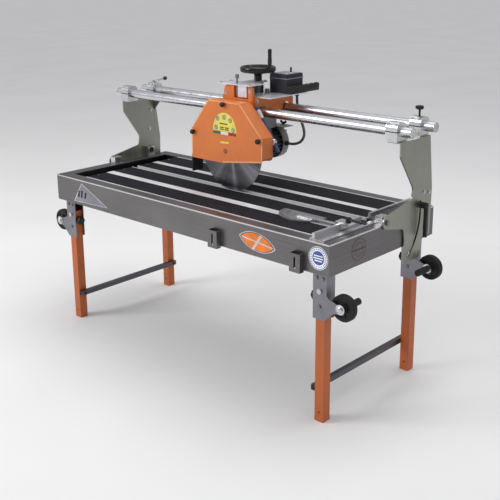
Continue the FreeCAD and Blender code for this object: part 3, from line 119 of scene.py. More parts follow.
class Mould:
    """A mesh under construction, in millimetres from an origin in the row frame."""

    def __init__(self, origin=TABLE):
        self.origin = origin
        self.mesh = bmesh.new()

    def corner(self, axis, u, v, along):
        """The point at u, v across an axis and at a distance along it."""
        return Vector({"x": (along, u, v), "y": (u, along, v), "z": (u, v, along)}[axis])

    def soften(self, faces, bevel, segments=2):
        if bevel:
            edges = list(dict.fromkeys(edge for face in faces for edge in face.edges))
            bmesh.ops.bevel(self.mesh, geom=edges, offset=bevel, segments=segments, profile=0.6,
                            affect="EDGES", clamp_overlap=True)

    def slab(self, points, axis, low, high, bevel=0.0, segments=2):
        """A flat outline pushed along an axis, with rounded edges."""
        rings = [[self.mesh.verts.new(self.corner(axis, u, v, along)) for u, v in points]
                 for along in (low, high)]
        faces = [self.mesh.faces.new(rings[0]), self.mesh.faces.new(rings[1])]
        for i in range(len(points)):
            k = (i + 1) % len(points)
            faces.append(self.mesh.faces.new((rings[0][i], rings[0][k], rings[1][k], rings[1][i])))
        self.soften(faces, bevel, segments)

    def block(self, low, high, bevel=0.0, segments=2):
        """A block between two corners."""
        points = [(low[0], low[1]), (high[0], low[1]), (high[0], high[1]), (low[0], high[1])]
        self.slab(points, "z", low[2], high[2], bevel, segments)

    def disc(self, axis, centre, radius, low, high, bevel=0.0, sides=32, turn=0.0):
        """A round or many-sided slab about centre, which is a pair across the axis."""
        points = [(centre[0] + radius * math.cos(turn + 2 * math.pi * i / sides),
                   centre[1] + radius * math.sin(turn + 2 * math.pi * i / sides))
                  for i in range(sides)]
        self.slab(points, axis, low, high, bevel, 1 if sides > 8 else 2)

    def lathe(self, axis, centre, profile, steps=48, lobes=0, depth=0.0, lobe_from=0.0):
        """A profile of (radius, along) pairs turned about an axis, with lobes in its outer part."""
        rings = []
        closed = profile[0] == profile[-1]
        for radius, along in profile[:-1] if closed else profile:
            if radius == 0:
                rings.append([self.mesh.verts.new(self.corner(axis, *centre, along))])
                continue
            ring = []
            for i in range(steps):
                angle = 2 * math.pi * i / steps
                wave = depth * (math.cos(lobes * angle) - 1) / 2 if radius > lobe_from else 0
                reach = radius * (1 + wave)
                ring.append(self.mesh.verts.new(self.corner(
                    axis, centre[0] + reach * math.cos(angle), centre[1] + reach * math.sin(angle),
                    along)))
            rings.append(ring)
        if closed:
            rings.append(rings[0])
        for one, two in zip(rings, rings[1:]):
            for i in range(steps):
                k = (i + 1) % steps
                if len(one) == 1:
                    self.mesh.faces.new((one[0], two[i], two[k]))
                elif len(two) == 1:
                    self.mesh.faces.new((one[i], one[k], two[0]))
                else:
                    self.mesh.faces.new((one[i], one[k], two[k], two[i]))
        for ring in () if closed else (rings[0], rings[-1]):
            if len(ring) > 1:
                self.mesh.faces.new(ring)

    def lean(self, matrix):
        """Moves what is in the mould so far by a matrix."""
        bmesh.ops.transform(self.mesh, matrix=matrix, verts=list(self.mesh.verts))

    def hexagon(self, axis, centre, radius, low, high):
        """A hexagon head on a washer; high is the side that shows."""
        step = (high - low) * 0.25
        self.disc(axis, centre, radius * 1.45, low, low + step, abs(step) * 0.3)
        self.disc(axis, centre, radius, low + step, high, abs(high - low) * 0.15, sides=6, turn=0.3)

    def socket(self, axis, centre, radius, low, high):
        """A socket head screw: a round head with a recess in the side that shows."""
        rise = high - low
        profile = [(radius, low), (radius, high - rise * 0.12), (radius * 0.88, high),
                   (radius * 0.52, high), (radius * 0.5, high - rise * 0.45), (0, high - rise * 0.5)]
        self.lathe(axis, centre, profile, steps=24)

    def arc_ticks(self, axis, centre, radius, face, start, stop, step, size, width, long_every=5):
        """Marks along an arc in the face at a place on the axis; every so many are longer."""
        count = int(round((stop - start) / step))
        for i in range(count + 1):
            angle = math.radians(start + i * step)
            reach = size * (1.0 if i % long_every == 0 else 0.6)
            across = Vector((-math.sin(angle), math.cos(angle))) * width / 2
            inner = Vector((centre[0], centre[1])) + Vector((math.cos(angle), math.sin(angle))) * radius
            outer = inner + Vector((math.cos(angle), math.sin(angle))) * reach
            points = [inner - across, outer - across, outer + across, inner + across]
            self.slab([tuple(point) for point in points], axis, face[0], face[1])

    def make(self, name, material, body, slot, stands_for=(), smooth=35):
        """Turns the mould into a piece that rides on a body."""
        bmesh.ops.recalc_face_normals(self.mesh, faces=self.mesh.faces)
        data = bpy.data.meshes.new(name)
        for vertex in self.mesh.verts:
            vertex.co = vertex.co * MM + self.origin
        self.mesh.to_mesh(data)
        self.mesh.free()
        data.shade_smooth()
        data.set_sharp_from_angle(angle=math.radians(smooth))
        data.materials.append(finish(material))
        piece = bpy.data.objects.new(name, data)
        bpy.context.scene.collection.objects.link(piece)
        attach(piece, body)
        if stands_for:
            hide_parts(*stands_for)
        return piece


def hose_piece(name, origin, route, radius, material, node):
    """A hose from the head to the carriage, along a fixed route."""
    curve = bpy.data.curves.new(name, "CURVE")
    curve.dimensions = "3D"
    spline = curve.splines.new("NURBS")
    spline.points.add(len(route) - 1)
    for point, place in zip(spline.points, route):
        point.co = (*(Vector(place) * MM + origin), 1)
    spline.order_u = 3
    spline.use_endpoint_u = True
    spline.resolution_u = 10
    curve.bevel_depth = radius
    curve.bevel_resolution = 8
    curve.use_fill_caps = True
    line = bpy.data.objects.new(f"{name}_line", curve)
    data = bpy.data.meshes.new_from_object(line)
    bpy.data.objects.remove(line)
    data.name = name
    data.shade_smooth()
    data.materials.clear()
    data.materials.append(finish(material))
    piece = bpy.data.objects.new(name, data)
    bpy.context.scene.collection.objects.link(piece)
    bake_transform(piece)
    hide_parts(node)
    return piece


# ---------------------------------------------------------------- materials


class Shade:
    """A procedural material under construction, on the object's own coordinates in metres."""

    def __init__(self, name, metallic, roughness, coat=0.0, specular=0.5):
        self.material = bpy.data.materials.new(name)
        self.material.use_nodes = True
        self.tree = self.material.node_tree
        self.shader = self.tree.nodes["Principled BSDF"]
        self.shader.inputs["Metallic"].default_value = metallic
        self.shader.inputs["Roughness"].default_value = roughness
        self.shader.inputs["Coat Weight"].default_value = coat
        self.shader.inputs["Coat Roughness"].default_value = 0.12
        self.shader.inputs["Specular IOR Level"].default_value = specular
        self.place = self.node("ShaderNodeTexCoord").outputs["Object"]
        self.height = None

    def node(self, kind, **settings):
        made = self.tree.nodes.new(kind)
        for name, value in settings.items():
            setattr(made, name, value)
        return made

    def link(self, one, two):
        self.tree.links.new(one, two)

    def stretched(self, stretch, centre=(0, 0, 0)):
        """The object's coordinates, moved to a centre and stretched along each axis."""
        mapping = self.node("ShaderNodeMapping")
        mapping.inputs["Scale"].default_value = stretch
        mapping.inputs["Location"].default_value = [-c * s for c, s in zip(centre, stretch)]
        self.link(self.place, mapping.inputs["Vector"])
        return mapping.outputs["Vector"]

    def noise(self, scale, stretch=(1, 1, 1), detail=4.0, roughness=0.55):
        noise = self.node("ShaderNodeTexNoise")
        noise.inputs["Scale"].default_value = scale
        noise.inputs["Detail"].default_value = detail
        noise.inputs["Roughness"].default_value = roughness
        self.link(self.stretched(stretch), noise.inputs["Vector"])
        return noise.outputs["Fac"]

    def bands(self, pitch, direction="X", rings=False, centre=(0, 0, 0)):
        """Smooth stripes across a direction, or rings about it, a pitch apart in metres."""
        wave = self.node("ShaderNodeTexWave", wave_type="RINGS" if rings else "BANDS")
        setattr(wave, "rings_direction" if rings else "bands_direction", direction)
        wave.inputs["Scale"].default_value = math.pi / 10 / pitch
        self.link(self.stretched((1, 1, 1), centre), wave.inputs["Vector"])
        return wave.outputs["Fac"]

    def rays(self, centre, count):
        """Soft rays about a centre, across Y, that carry a painted radial sheen; count sets how many."""
        split = self.node("ShaderNodeSeparateXYZ")
        self.link(self.stretched((1, 1, 1), centre), split.inputs["Vector"])
        flat = self.node("ShaderNodeCombineXYZ")
        self.link(split.outputs["X"], flat.inputs["X"])
        self.link(split.outputs["Z"], flat.inputs["Y"])
        length = self.node("ShaderNodeVectorMath", operation="NORMALIZE")
        self.link(flat.outputs["Vector"], length.inputs[0])
        noise = self.node("ShaderNodeTexNoise")
        noise.inputs["Scale"].default_value = count
        noise.inputs["Detail"].default_value = 3
        self.link(length.outputs["Vector"], noise.inputs["Vector"])
        return noise.outputs["Fac"]

    def step(self, axis, edge, blur=0.0005):
        """0 before an edge on an axis of the row frame, 1 after it."""
        split = self.node("ShaderNodeSeparateXYZ")
        self.link(self.place, split.inputs["Vector"])
        return self.spread(split.outputs[axis], edge - blur, edge + blur, 0, 1)

    def spread(self, value, low, high, to_low, to_high):
        ranged = self.node("ShaderNodeMapRange")
        for name, number in zip(("From Min", "From Max", "To Min", "To Max"),
                                (low, high, to_low, to_high)):
            ranged.inputs[name].default_value = number
        self.link(value, ranged.inputs["Value"])
        return ranged.outputs["Result"]

    def ramp(self, value, *stops):
        """Colours along a value; each stop is (place, colour)."""
        ramp = self.node("ShaderNodeValToRGB")
        while len(ramp.color_ramp.elements) < len(stops):
            ramp.color_ramp.elements.new(0.5)
        for element, (at, colour) in zip(ramp.color_ramp.elements, stops):
            element.position = at
            element.color = (*colour, 1)
        self.link(value, ramp.inputs["Fac"])
        return ramp.outputs["Color"]

    def mix(self, share, one, two):
        mix = self.node("ShaderNodeMix", data_type="RGBA")
        self.link(share, mix.inputs["Factor"])
        for socket, colour in ((mix.inputs[6], one), (mix.inputs[7], two)):
            if isinstance(colour, tuple):
                socket.default_value = (*colour, 1)
            else:
                self.link(colour, socket)
        return mix.outputs[2]

    def colour(self, value):
        self.link(value, self.shader.inputs["Base Color"])

    def rough(self, value, low, high):
        self.link(self.spread(value, 0.3, 0.7, low, high), self.shader.inputs["Roughness"])

    def bump(self, value, distance, strength=1.0):
        """Adds a height, in metres, under the ones before it."""
        bump = self.node("ShaderNodeBump")
        bump.inputs["Strength"].default_value = strength
        bump.inputs["Distance"].default_value = distance
        self.link(value, bump.inputs["Height"])
        if self.height:
            self.link(self.height, bump.inputs["Normal"])
        self.height = bump.outputs["Normal"]
        self.link(self.height, self.shader.inputs["Normal"])


def tinted(colour, share):
    return tuple(min(1.0, part * share) for part in colour)


def brushed(name, colour, roughness, stretch, contrast=0.16, blotch=0.12, metallic=1.0):
    """Metal with fine streaks along one way and broad smudges."""
    shade = Shade(name, metallic, roughness)
    streaks = shade.noise(60, stretch, detail=6)
    smudge = shade.noise(3.5, detail=3)
    fine = shade.ramp(streaks, (0.3, tinted(colour, 1 - contrast)), (0.7, tinted(colour, 1 + contrast)))
    soft = shade.ramp(smudge, (0.3, tinted(colour, 1 - blotch)), (0.75, tinted(colour, 1 + blotch)))
    shade.colour(shade.mix(shade.spread(smudge, 0.2, 0.8, 0.25, 0.6), fine, soft))
    shade.rough(streaks, roughness - 0.07, roughness + 0.1)
    shade.bump(streaks, 0.00012, 0.35)
    return shade


def painted(name, colour, roughness, coat):
    """Smooth paint with a slight orange peel and faint marks."""
    shade = Shade(name, 0.0, roughness, coat=coat)
    marks = shade.noise(9, detail=5)
    peel = shade.noise(420, detail=2)
    shade.colour(shade.ramp(marks, (0.3, tinted(colour, 0.88)), (0.6, colour), (0.8, tinted(colour, 1.08))))
    shade.rough(marks, roughness - 0.05, roughness + 0.08)
    shade.bump(peel, 0.00015, 0.25)
    return shade


def moulded(name, colour, roughness, grain=900, depth=0.00012, specular=0.3):
    """Moulded plastic or rubber with a fine grain."""
    shade = Shade(name, 0.0, roughness, specular=specular)
    cloud = shade.noise(14, detail=4)
    fine = shade.noise(grain, detail=2)
    light = tuple(part * 1.5 + 0.008 for part in colour)
    shade.colour(shade.ramp(cloud, (0.35, colour), (0.75, light)))
    shade.rough(cloud, roughness - 0.06, roughness + 0.1)
    shade.bump(fine, depth, 0.5)
    return shade


def cast(name, colour, roughness, depth=0.0004, metallic=1.0):
    """Cast metal with a sandy skin."""
    shade = Shade(name, metallic, roughness)
    skin = shade.noise(260, detail=4)
    cloud = shade.noise(12, detail=3)
    shade.colour(shade.ramp(cloud, (0.3, tinted(colour, 0.86)), (0.75, tinted(colour, 1.08))))
    shade.rough(skin, roughness - 0.06, roughness + 0.12)
    shade.bump(skin, depth, 0.45)
    return shade


def slat_rubber(name):
    shade = moulded(name, (0.009, 0.008, 0.012), 0.72, specular=0.15)
    shade.bump(shade.bands(4 * MM, "Y"), 0.0009, 0.8)
    return shade


def gripped_rubber(name):
    shade = moulded(name, (0.016, 0.016, 0.018), 0.6)
    shade.bump(shade.bands(5 * MM, "Y"), 0.001, 0.8)
    return shade


def blade_steel(name):
    shade = Shade(name, 1.0, 0.32)
    centre = tuple(BLADE)
    rings = shade.bands(1.6 * MM, "Y", rings=True, centre=centre)
    cloud = shade.noise(30, detail=5)
    rays = shade.rays(centre, 1.9)
    # Painted radial sheen: the base colour runs from dark to light along soft rays about the blade's centre,
    # standing in for reflected light.
    shade.colour(shade.ramp(rays, (0.34, (0.11, 0.11, 0.125)), (0.5, (0.19, 0.19, 0.21)),
                            (0.68, (0.42, 0.42, 0.45))))
    shade.rough(cloud, 0.26, 0.4)
    shade.bump(rings, 0.00008, 0.35)
    shade.shader.inputs["Anisotropic"].default_value = 0.75
    tangent = shade.node("ShaderNodeTangent", direction_type="RADIAL", axis="Y")
    shade.link(tangent.outputs["Tangent"], shade.shader.inputs["Tangent"])
    return shade


def ball_lever_finish(name):
    """A zinc arm with a black ball on its far end."""
    shade = Shade(name, 0.0, 0.35)
    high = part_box("ball_lever")[1]
    ball = shade.step("X", high.x - 21 * MM)
    steel = shade.ramp(shade.noise(80), (0.3, (0.5, 0.5, 0.5)), (0.7, (0.65, 0.65, 0.66)))
    shade.colour(shade.mix(ball, steel, (0.015, 0.015, 0.016)))
    shade.link(shade.spread(ball, 0, 1, 1, 0), shade.shader.inputs["Metallic"])
    return shade


def laser_finish(name):
    """A blue barrel between dark ends, with a pale top."""
    shade = Shade(name, 0.0, 0.3, coat=0.5)
    low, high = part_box("line_laser")
    cloud = shade.noise(30)
    blue = shade.ramp(cloud, (0.3, (0.02, 0.06, 0.2)), (0.7, (0.04, 0.1, 0.3)))
    top = shade.step("Z", high.z - 34 * MM)
    cap = shade.step("Z", high.z - 14 * MM)
    foot = shade.step("Z", low.z + 26 * MM)
    pale = shade.mix(top, blue, (0.6, 0.62, 0.64))
    capped = shade.mix(cap, pale, (0.02, 0.02, 0.02))
    shade.colour(shade.mix(foot, (0.02, 0.02, 0.02), capped))
    shade.bump(shade.noise(500), 0.0001, 0.3)
    return shade


def floor_finish(name):
    shade = Shade(name, 0.0, 0.85, specular=0.2)
    cloud = shade.noise(1.2, detail=2)
    shade.colour(shade.ramp(cloud, (0.3, (0.86, 0.86, 0.86)), (0.7, (0.9, 0.9, 0.9))))
    return shade


def bright(name, colour, roughness):
    """Plain bright metal with a faint cloud."""
    shade = Shade(name, 1.0, roughness)
    cloud = shade.noise(18, detail=4)
    shade.colour(shade.ramp(cloud, (0.3, tinted(colour, 0.9)), (0.75, colour)))
    shade.rough(cloud, max(0.03, roughness - 0.04), roughness + 0.06)
    return shade


def recipe(kind, *values, **settings):
    """A finish to make later; a colour may be given by its name in the panel."""
    def make(name):
        colours = bpy.context.scene.cutter_colours
        chosen = [tuple(colours.path_resolve(value)) if isinstance(value, str) else value
                  for value in values]
        return kind(name, *chosen, **settings)
    return make


RECIPES = {
    # Painted shade: the tray's steel colour is darkened to stand in for dark surroundings mirrored in it; its
    # streaks and smudges are its own grain.
    "tray_steel": recipe(brushed, "tray", 0.4, (0.05, 0.05, 2.2), contrast=0.22, blotch=0.25),
    # Painted highlight for the tray's folded edges.
    "rim_steel": recipe(brushed, (0.66, 0.65, 0.64), 0.3, (0.05, 1, 1)),
    "dark_steel": recipe(brushed, (0.13, 0.125, 0.14), 0.42, (1, 0.08, 1)),
    "upright_steel": recipe(brushed, (0.33, 0.335, 0.29), 0.38, (1, 1, 0.08)),
    "slide_steel": recipe(brushed, (0.2, 0.2, 0.2), 0.35, (1, 1, 0.1)),
    "shelf_aluminium": recipe(brushed, (0.82, 0.8, 0.86), 0.33, (1, 0.07, 1), metallic=0.7),
    "strip_aluminium": recipe(brushed, (0.9, 0.9, 0.93), 0.34, (0.05, 1, 1), metallic=0.4),
    "fence_aluminium": recipe(brushed, (0.6, 0.6, 0.62), 0.34, (1, 0.05, 1)),
    "zinc": recipe(cast, (0.26, 0.255, 0.28), 0.38, depth=0.00015),
    "bolt_zinc": recipe(bright, (0.55, 0.57, 0.6), 0.24),
    "bright_cast": recipe(cast, (0.7, 0.71, 0.73), 0.28),
    "plate_steel": recipe(cast, (0.42, 0.42, 0.44), 0.38, depth=0.0002),
    "chrome": recipe(bright, (0.66, 0.67, 0.7), 0.28),
    "guard_paint": recipe(painted, "paint", 0.38, 0.2),
    "leg_paint": recipe(painted, "legs", 0.45, 0.08),
    # Painted highlight on the guard's folded edge.
    "edge_paint": recipe(painted, (0.95, 0.4, 0.16), 0.35, 0.3),
    "black_paint": recipe(painted, (0.022, 0.022, 0.024), 0.42, 0.2),
    "cowl_paint": recipe(painted, (0.2, 0.195, 0.185), 0.4, 0.2),
    "black_plastic": recipe(moulded, (0.014, 0.014, 0.015), 0.42),
    "gloss_plastic": recipe(moulded, (0.012, 0.012, 0.013), 0.22, depth=0.00004),
    "box_plastic": recipe(moulded, (0.02, 0.021, 0.028), 0.45),
    # Painted sheen on the switch box's top.
    "lid_plastic": recipe(moulded, (0.2, 0.21, 0.23), 0.45),
    "cap_plastic": recipe(moulded, (0.55, 0.56, 0.57), 0.5),
    "tyre_rubber": recipe(moulded, "rubber", 0.62, 500, 0.0003),
    "lead_rubber": recipe(moulded, (0.1, 0.1, 0.105), 0.5),
    "slat_rubber": slat_rubber,
    "gripped_rubber": gripped_rubber,
    "blade_steel": blade_steel,
    "ball_lever_finish": ball_lever_finish,
    "laser_finish": laser_finish,
    "floor_finish": floor_finish,
    "yellow_label": recipe(moulded, (0.72, 0.62, 0.1), 0.5),
    "white_label": recipe(moulded, (0.75, 0.75, 0.74), 0.5),
    "blue_label": recipe(moulded, (0.05, 0.09, 0.3), 0.4),
    "orange_label": recipe(moulded, (0.75, 0.2, 0.03), 0.4),
    "pale_label": recipe(moulded, (0.55, 0.52, 0.55), 0.5),
    "grey_label": recipe(moulded, (0.2, 0.2, 0.23), 0.5),
    "green_label": recipe(moulded, (0.03, 0.16, 0.08), 0.5),
    "red_label": recipe(moulded, (0.3, 0.03, 0.03), 0.5),
    "faint_stamp": recipe(moulded, (0.075, 0.045, 0.04), 0.45),
    "dark_orange": recipe(painted, (0.4, 0.09, 0.02), 0.45, 0.2),
    "laser_blue": recipe(painted, (0.03, 0.05, 0.22), 0.3, 0.6),
    "laser_white": recipe(painted, (0.7, 0.7, 0.74), 0.35, 0.3),
    "ink": recipe(moulded, (0.012, 0.012, 0.014), 0.5),
}
MADE = {}


def finish(name):
    """The material of that name, made when it is first asked for."""
    if name not in MADE:
        MADE[name] = RECIPES[name](name).material
    return MADE[name]


NODE_FINISHES = {
    "tray_steel": ("tray_basin", "hook_pockets"),
    "dark_steel": ("table_crossbars", "left_crossbar", "right_crossbar", "guide_block", "left_rollers",
                   "right_rollers", "blade_arbor"),
    "slat_rubber": ("table_slats",),
    "strip_aluminium": ("table_strips",),
    "fence_aluminium": ("stop_fence",),
    "shelf_aluminium": ("carriage_shelf", "stop_plate"),
    "zinc": ("leg_brackets", "tilt_studs", "table_screws", "stop_screw", "lift_screw"),
    "bolt_zinc": ("bracket_bolts",),
    "bright_cast": ("pivot_blocks", "tube_clamps", "protractor_carrier"),
    "plate_steel": ("protractor_plate",),
    "chrome": ("bridge_tubes",),
    "upright_steel": ("upright_left", "upright_right"),
    "slide_steel": ("lift_slide",),
    "guard_paint": ("carriage_frame", "front_fork", "guard_shell", "guard_cover"),
    "leg_paint": ("left_legs", "right_legs"),
    "black_paint": ("motor_housing",),
    "cowl_paint": ("fan_cowl",),
    "black_plastic": ("water_pump", "protractor_latch", "left_lock_knobs", "right_lock_knobs", "star_knob",
                      "tilt_lever_left", "tilt_lever_right", "guard_knobs", "push_grip", "switch_toggle"),
    "gloss_plastic": ("handwheel", "handwheel_grip"),
    "box_plastic": ("switch_box",),
    "tyre_rubber": ("wheel_front_left", "wheel_front_right", "wheel_rear_left", "wheel_rear_right",
                    "splash_flap", "water_hose"),
    "lead_rubber": ("motor_lead",),
    "gripped_rubber": ("lift_grips",),
    "blade_steel": ("blade_disc",),
    "ball_lever_finish": ("ball_lever",),
    "laser_finish": ("line_laser",),
}


# ---------------------------------------------------------------- operators


class Finishes(bpy.types.Operator):
    """Gives each solid piece its material"""

    bl_idname = "cutter.finishes"
    bl_label = "Finishes"

    def execute(self, context):
        for material, nodes in NODE_FINISHES.items():
            for node in nodes:
                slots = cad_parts[node].data.materials
                slots.clear()
                slots.append(finish(material))
        return {"FINISHED"}


class Stage(bpy.types.Operator):
    """Makes the floor, the lights and the camera"""

    bl_idname = "cutter.stage"
    bl_label = "Stage"

    def execute(self, context):
        scene = context.scene
        mesh = bpy.data.meshes.new("floor")
        reach = 120
        corners = [(-reach, -reach, 0), (reach, -reach, 0), (reach, reach, 0), (-reach, reach, 0)]
        mesh.from_pydata(corners, [], [(0, 1, 2, 3)])
        mesh.materials.append(finish("floor_finish"))
        floor = bpy.data.objects.new("floor", mesh)
        scene.collection.objects.link(floor)
        scene.view_settings.view_transform = "Standard"
        self.make_sky(scene)
        middle = Vector((0, 0, 0.7))
        for name, place, size, power in (
            ("key", (-3.0, -4.4, 3.6), 2.4, 150),
            ("fill", (4.8, -2.4, 2.0), 2.2, 6),
            ("top", (0.4, 1.0, 4.4), 3.0, 60),
        ):
            light = bpy.data.lights.new(name, "AREA")
            light.size = size
            light.energy = power
            lamp = bpy.data.objects.new(name, light)
            lamp.location = place
            lamp.rotation_euler = (middle - lamp.location).to_track_quat("-Z", "Y").to_euler()
            scene.collection.objects.link(lamp)
        data = bpy.data.cameras.new("camera")
        data.sensor_width = 36
        data.lens = 61.835
        data.shift_y = -0.1
        data.clip_end = 400
        camera = bpy.data.objects.new("camera", data)
        bearing, dip, roll = (math.radians(angle) for angle in (-42.986, 15.264, -0.453))
        ahead = Vector((math.sin(bearing) * math.cos(dip), math.cos(bearing) * math.cos(dip), -math.sin(dip)))
        level = Vector((math.cos(bearing), -math.sin(bearing), 0))
        rise = level.cross(ahead)
        right = level * math.cos(roll) + rise * math.sin(roll)
        up = rise * math.cos(roll) - level * math.sin(roll)
        turn = Matrix((right, up, -ahead)).transposed().to_4x4()
        camera.matrix_world = Matrix.Translation((2.5145, -2.5888, 1.6386)) @ turn
        scene.collection.objects.link(camera)
        scene.camera = camera
        return {"FINISHED"}

    def make_sky(self, scene):
        """A soft sky: bright overhead, dimmer near the horizon, so metal has something to mirror."""
        world = bpy.data.worlds.new("studio")
        scene.world = world
        world.use_nodes = True
        nodes, links = world.node_tree.nodes, world.node_tree.links
        split = nodes.new("ShaderNodeSeparateXYZ")
        links.new(nodes.new("ShaderNodeTexCoord").outputs["Generated"], split.inputs["Vector"])
        ramp = nodes.new("ShaderNodeValToRGB")
        steps = ramp.color_ramp.elements
        while len(steps) < 4:
            steps.new(0.5)
        for step, (height, tone) in zip(steps, ((0.0, 0.6), (0.12, 0.5), (0.34, 0.42), (0.66, 1.0))):
            step.position = height
            step.color = (tone, tone, tone * 1.02, 1)
        links.new(split.outputs["Z"], ramp.inputs["Fac"])
        sky = nodes["Background"]
        links.new(ramp.outputs["Color"], sky.inputs["Color"])
        sky.inputs["Strength"].default_value = 0.68


class TrayTrim(bpy.types.Operator):
    """Makes the bright folded edge of the tray, a painted highlight, its front panel marks and its scales"""

    bl_idname = "cutter.tray_trim"
    bl_label = "Tray Trim"

    def execute(self, context):
        # Thin bright strips along the tray's folds: a painted highlight where the bends catch the light.
        edge = Mould()
        for side in (-1, 1):
            edge.block((-799, side * 338 - 0.5, -5), (799, side * 338 + 0.5, 0.5), 0.45)
            edge.block((side * 800 - 0.5, -337.5, -5), (side * 800 + 0.5, 337.5, 0.5), 0.45)
            edge.block((-748, side * 286 - 1.0, -2), (748, side * 286 + 1.0, 0.6), 0.5)
            edge.block((side * 748 - 1.0, -286, -2), (side * 748 + 1.0, 286, 0.6), 0.5)
        edge.make("tray_edges", "rim_steel", "table", "satin_aluminium")
        seams = Mould()
        for side in (-1, 1):
            for end in (-1, 1):
                outer = (side * 799.5, end * 337.5)
                inner = (side * 748, end * 286)
                points = [(outer[0], outer[1]), (outer[0] - side * 1.2, outer[1]),
                          (inner[0] - side * 1.2, inner[1]), (inner[0], inner[1])]
                seams.slab(points, "z", 0.02, 0.25)
        seams.make("tray_seams", "ink", "table", "black_plastic")
        face, skin = -338, 0.35
        wedge = [(-676, -106), (-614, -14), (-430, -97)]
        middle = (-588, -76)
        for name, share, layer, material in (
            ("front_wedge_border", 1.0, 1, "pale_label"), ("front_wedge", 0.93, 2, "grey_label"),
        ):
            mark = Mould()
            points = [(middle[0] + (x - middle[0]) * share, middle[1] + (z - middle[1]) * share)
                      for x, z in wedge]
            mark.slab(points, "y", face - skin * (layer - 1), face - skin * layer)
            mark.make(name, material, "table", "satin_aluminium")
        bars = Mould()
        for x, reach in ((-638, 30), (-616, 34), (-590, 30)):
            bars.slab([(x - 8, -82), (x + 4, -83), (x + 12, -83 + reach), (x, -82 + reach)], "y",
                      face - 2 * skin, face - 3 * skin)
        bars.make("front_wedge_bars", "ink", "table", "black_plastic")
        for name, share, layer, material in (
            ("front_lens_border", 1.0, 1, "pale_label"), ("front_lens_line", 0.93, 2, "ink"),
            ("front_lens", 0.88, 3, "orange_label"),
        ):
            mark = Mould()
            mark.slab(self.lens((462, -61), 93 * share, 37 * share, -6.6), "y",
                      face - skin * (layer - 1), face - skin * layer)
            mark.make(name, material, "table", "orange_paint")
        cross = Mould()
        cross.slab([(436, -92), (448, -93), (490, -33), (478, -31)], "y", face - 3 * skin, face - 4 * skin)
        cross.slab([(384, -49), (384, -54), (540, -72), (540, -67)], "y", face - 3 * skin, face - 3.6 * skin)
        cross.make("front_lens_cross", "pale_label", "table", "satin_aluminium")
        badge = Mould()
        badge.disc("y", BADGE, 43, face, face - skin, sides=64)
        badge.make("front_badge", "white_label", "table", "satin_aluminium")
        ring = Mould()
        ring.lathe("y", BADGE, [(41, face - skin), (41, face - 1.5 * skin), (38.5, face - 1.5 * skin),
                                     (38.5, face - skin), (41, face - skin)], steps=64)
        ring.disc("y", BADGE, 26, face - skin, face - 1.5 * skin, sides=48)
        for k in range(24):
            angle = math.radians(15 * k)
            dot = (BADGE[0] + 32.5 * math.cos(angle), BADGE[1] + 32.5 * math.sin(angle))
            ring.disc("y", dot, 2.2, face - skin, face - 1.5 * skin, sides=8)
        ring.make("front_badge_ring", "blue_label", "table", "laser_body")
        bars = Mould()
        for z, half in ((-49, 20), (-58, 22), (-67, 17)):
            left, right = BADGE[0] - half, BADGE[0] + half
            bars.slab([(left, z - 2.2), (right, z - 2.2), (right, z + 2.2), (left, z + 2.2)], "y",
                      face - 1.5 * skin, face - 2 * skin)
        bars.make("front_badge_bars", "white_label", "table", "satin_aluminium")
        stamp = Mould()
        stamp.lathe("x", (-165, -57), [(43, 800), (43, 800.3), (40, 800.3), (40, 800), (43, 800)], steps=64)
        stamp.lathe("x", (-165, -57), [(26, 800), (26, 800.3), (24, 800.3), (24, 800), (26, 800)], steps=48)
        stamp.slab([(-203, -60), (-127, -60), (-127, -54), (-203, -54)], "x", 800, 800.3)
        stamp.make("side_stamp", "faint_stamp", "table", "brushed_tray")
        ticks = Mould()
        width = context.scene.cutter_sizes.tick / MM
        for i in range(36):
            reach = 14 if i % 5 == 0 else 8
            y = -320 + 10 * i - 5
            ticks.block((764.5 - reach, y - width / 2, 3), (764.5, y + width / 2, 3.2))
        ticks.arc_ticks("z", (498, -97), 92, (7.2, 7.4), 183, 357, 3, 10, width)
        ticks.make("scale_marks", "ink", "table", "black_plastic")
        return {"FINISHED"}

    def lens(self, centre, half_long, half_tall, lean):
        """The outline of a pointed oval, leaning by an angle in degrees."""
        points = []
        for sign in (1, -1):
            for k in range(13):
                u = sign * (-1 + k / 6)
                points.append(Vector((u * half_long, sign * half_tall * (1 - u * u) ** 0.8)))
        turn = Matrix.Rotation(math.radians(lean), 2)
        corners = []
        for point in points[:12] + points[13:25]:
            spot = turn @ point
            corners.append((centre[0] + spot.x, centre[1] + spot.y))
        return corners


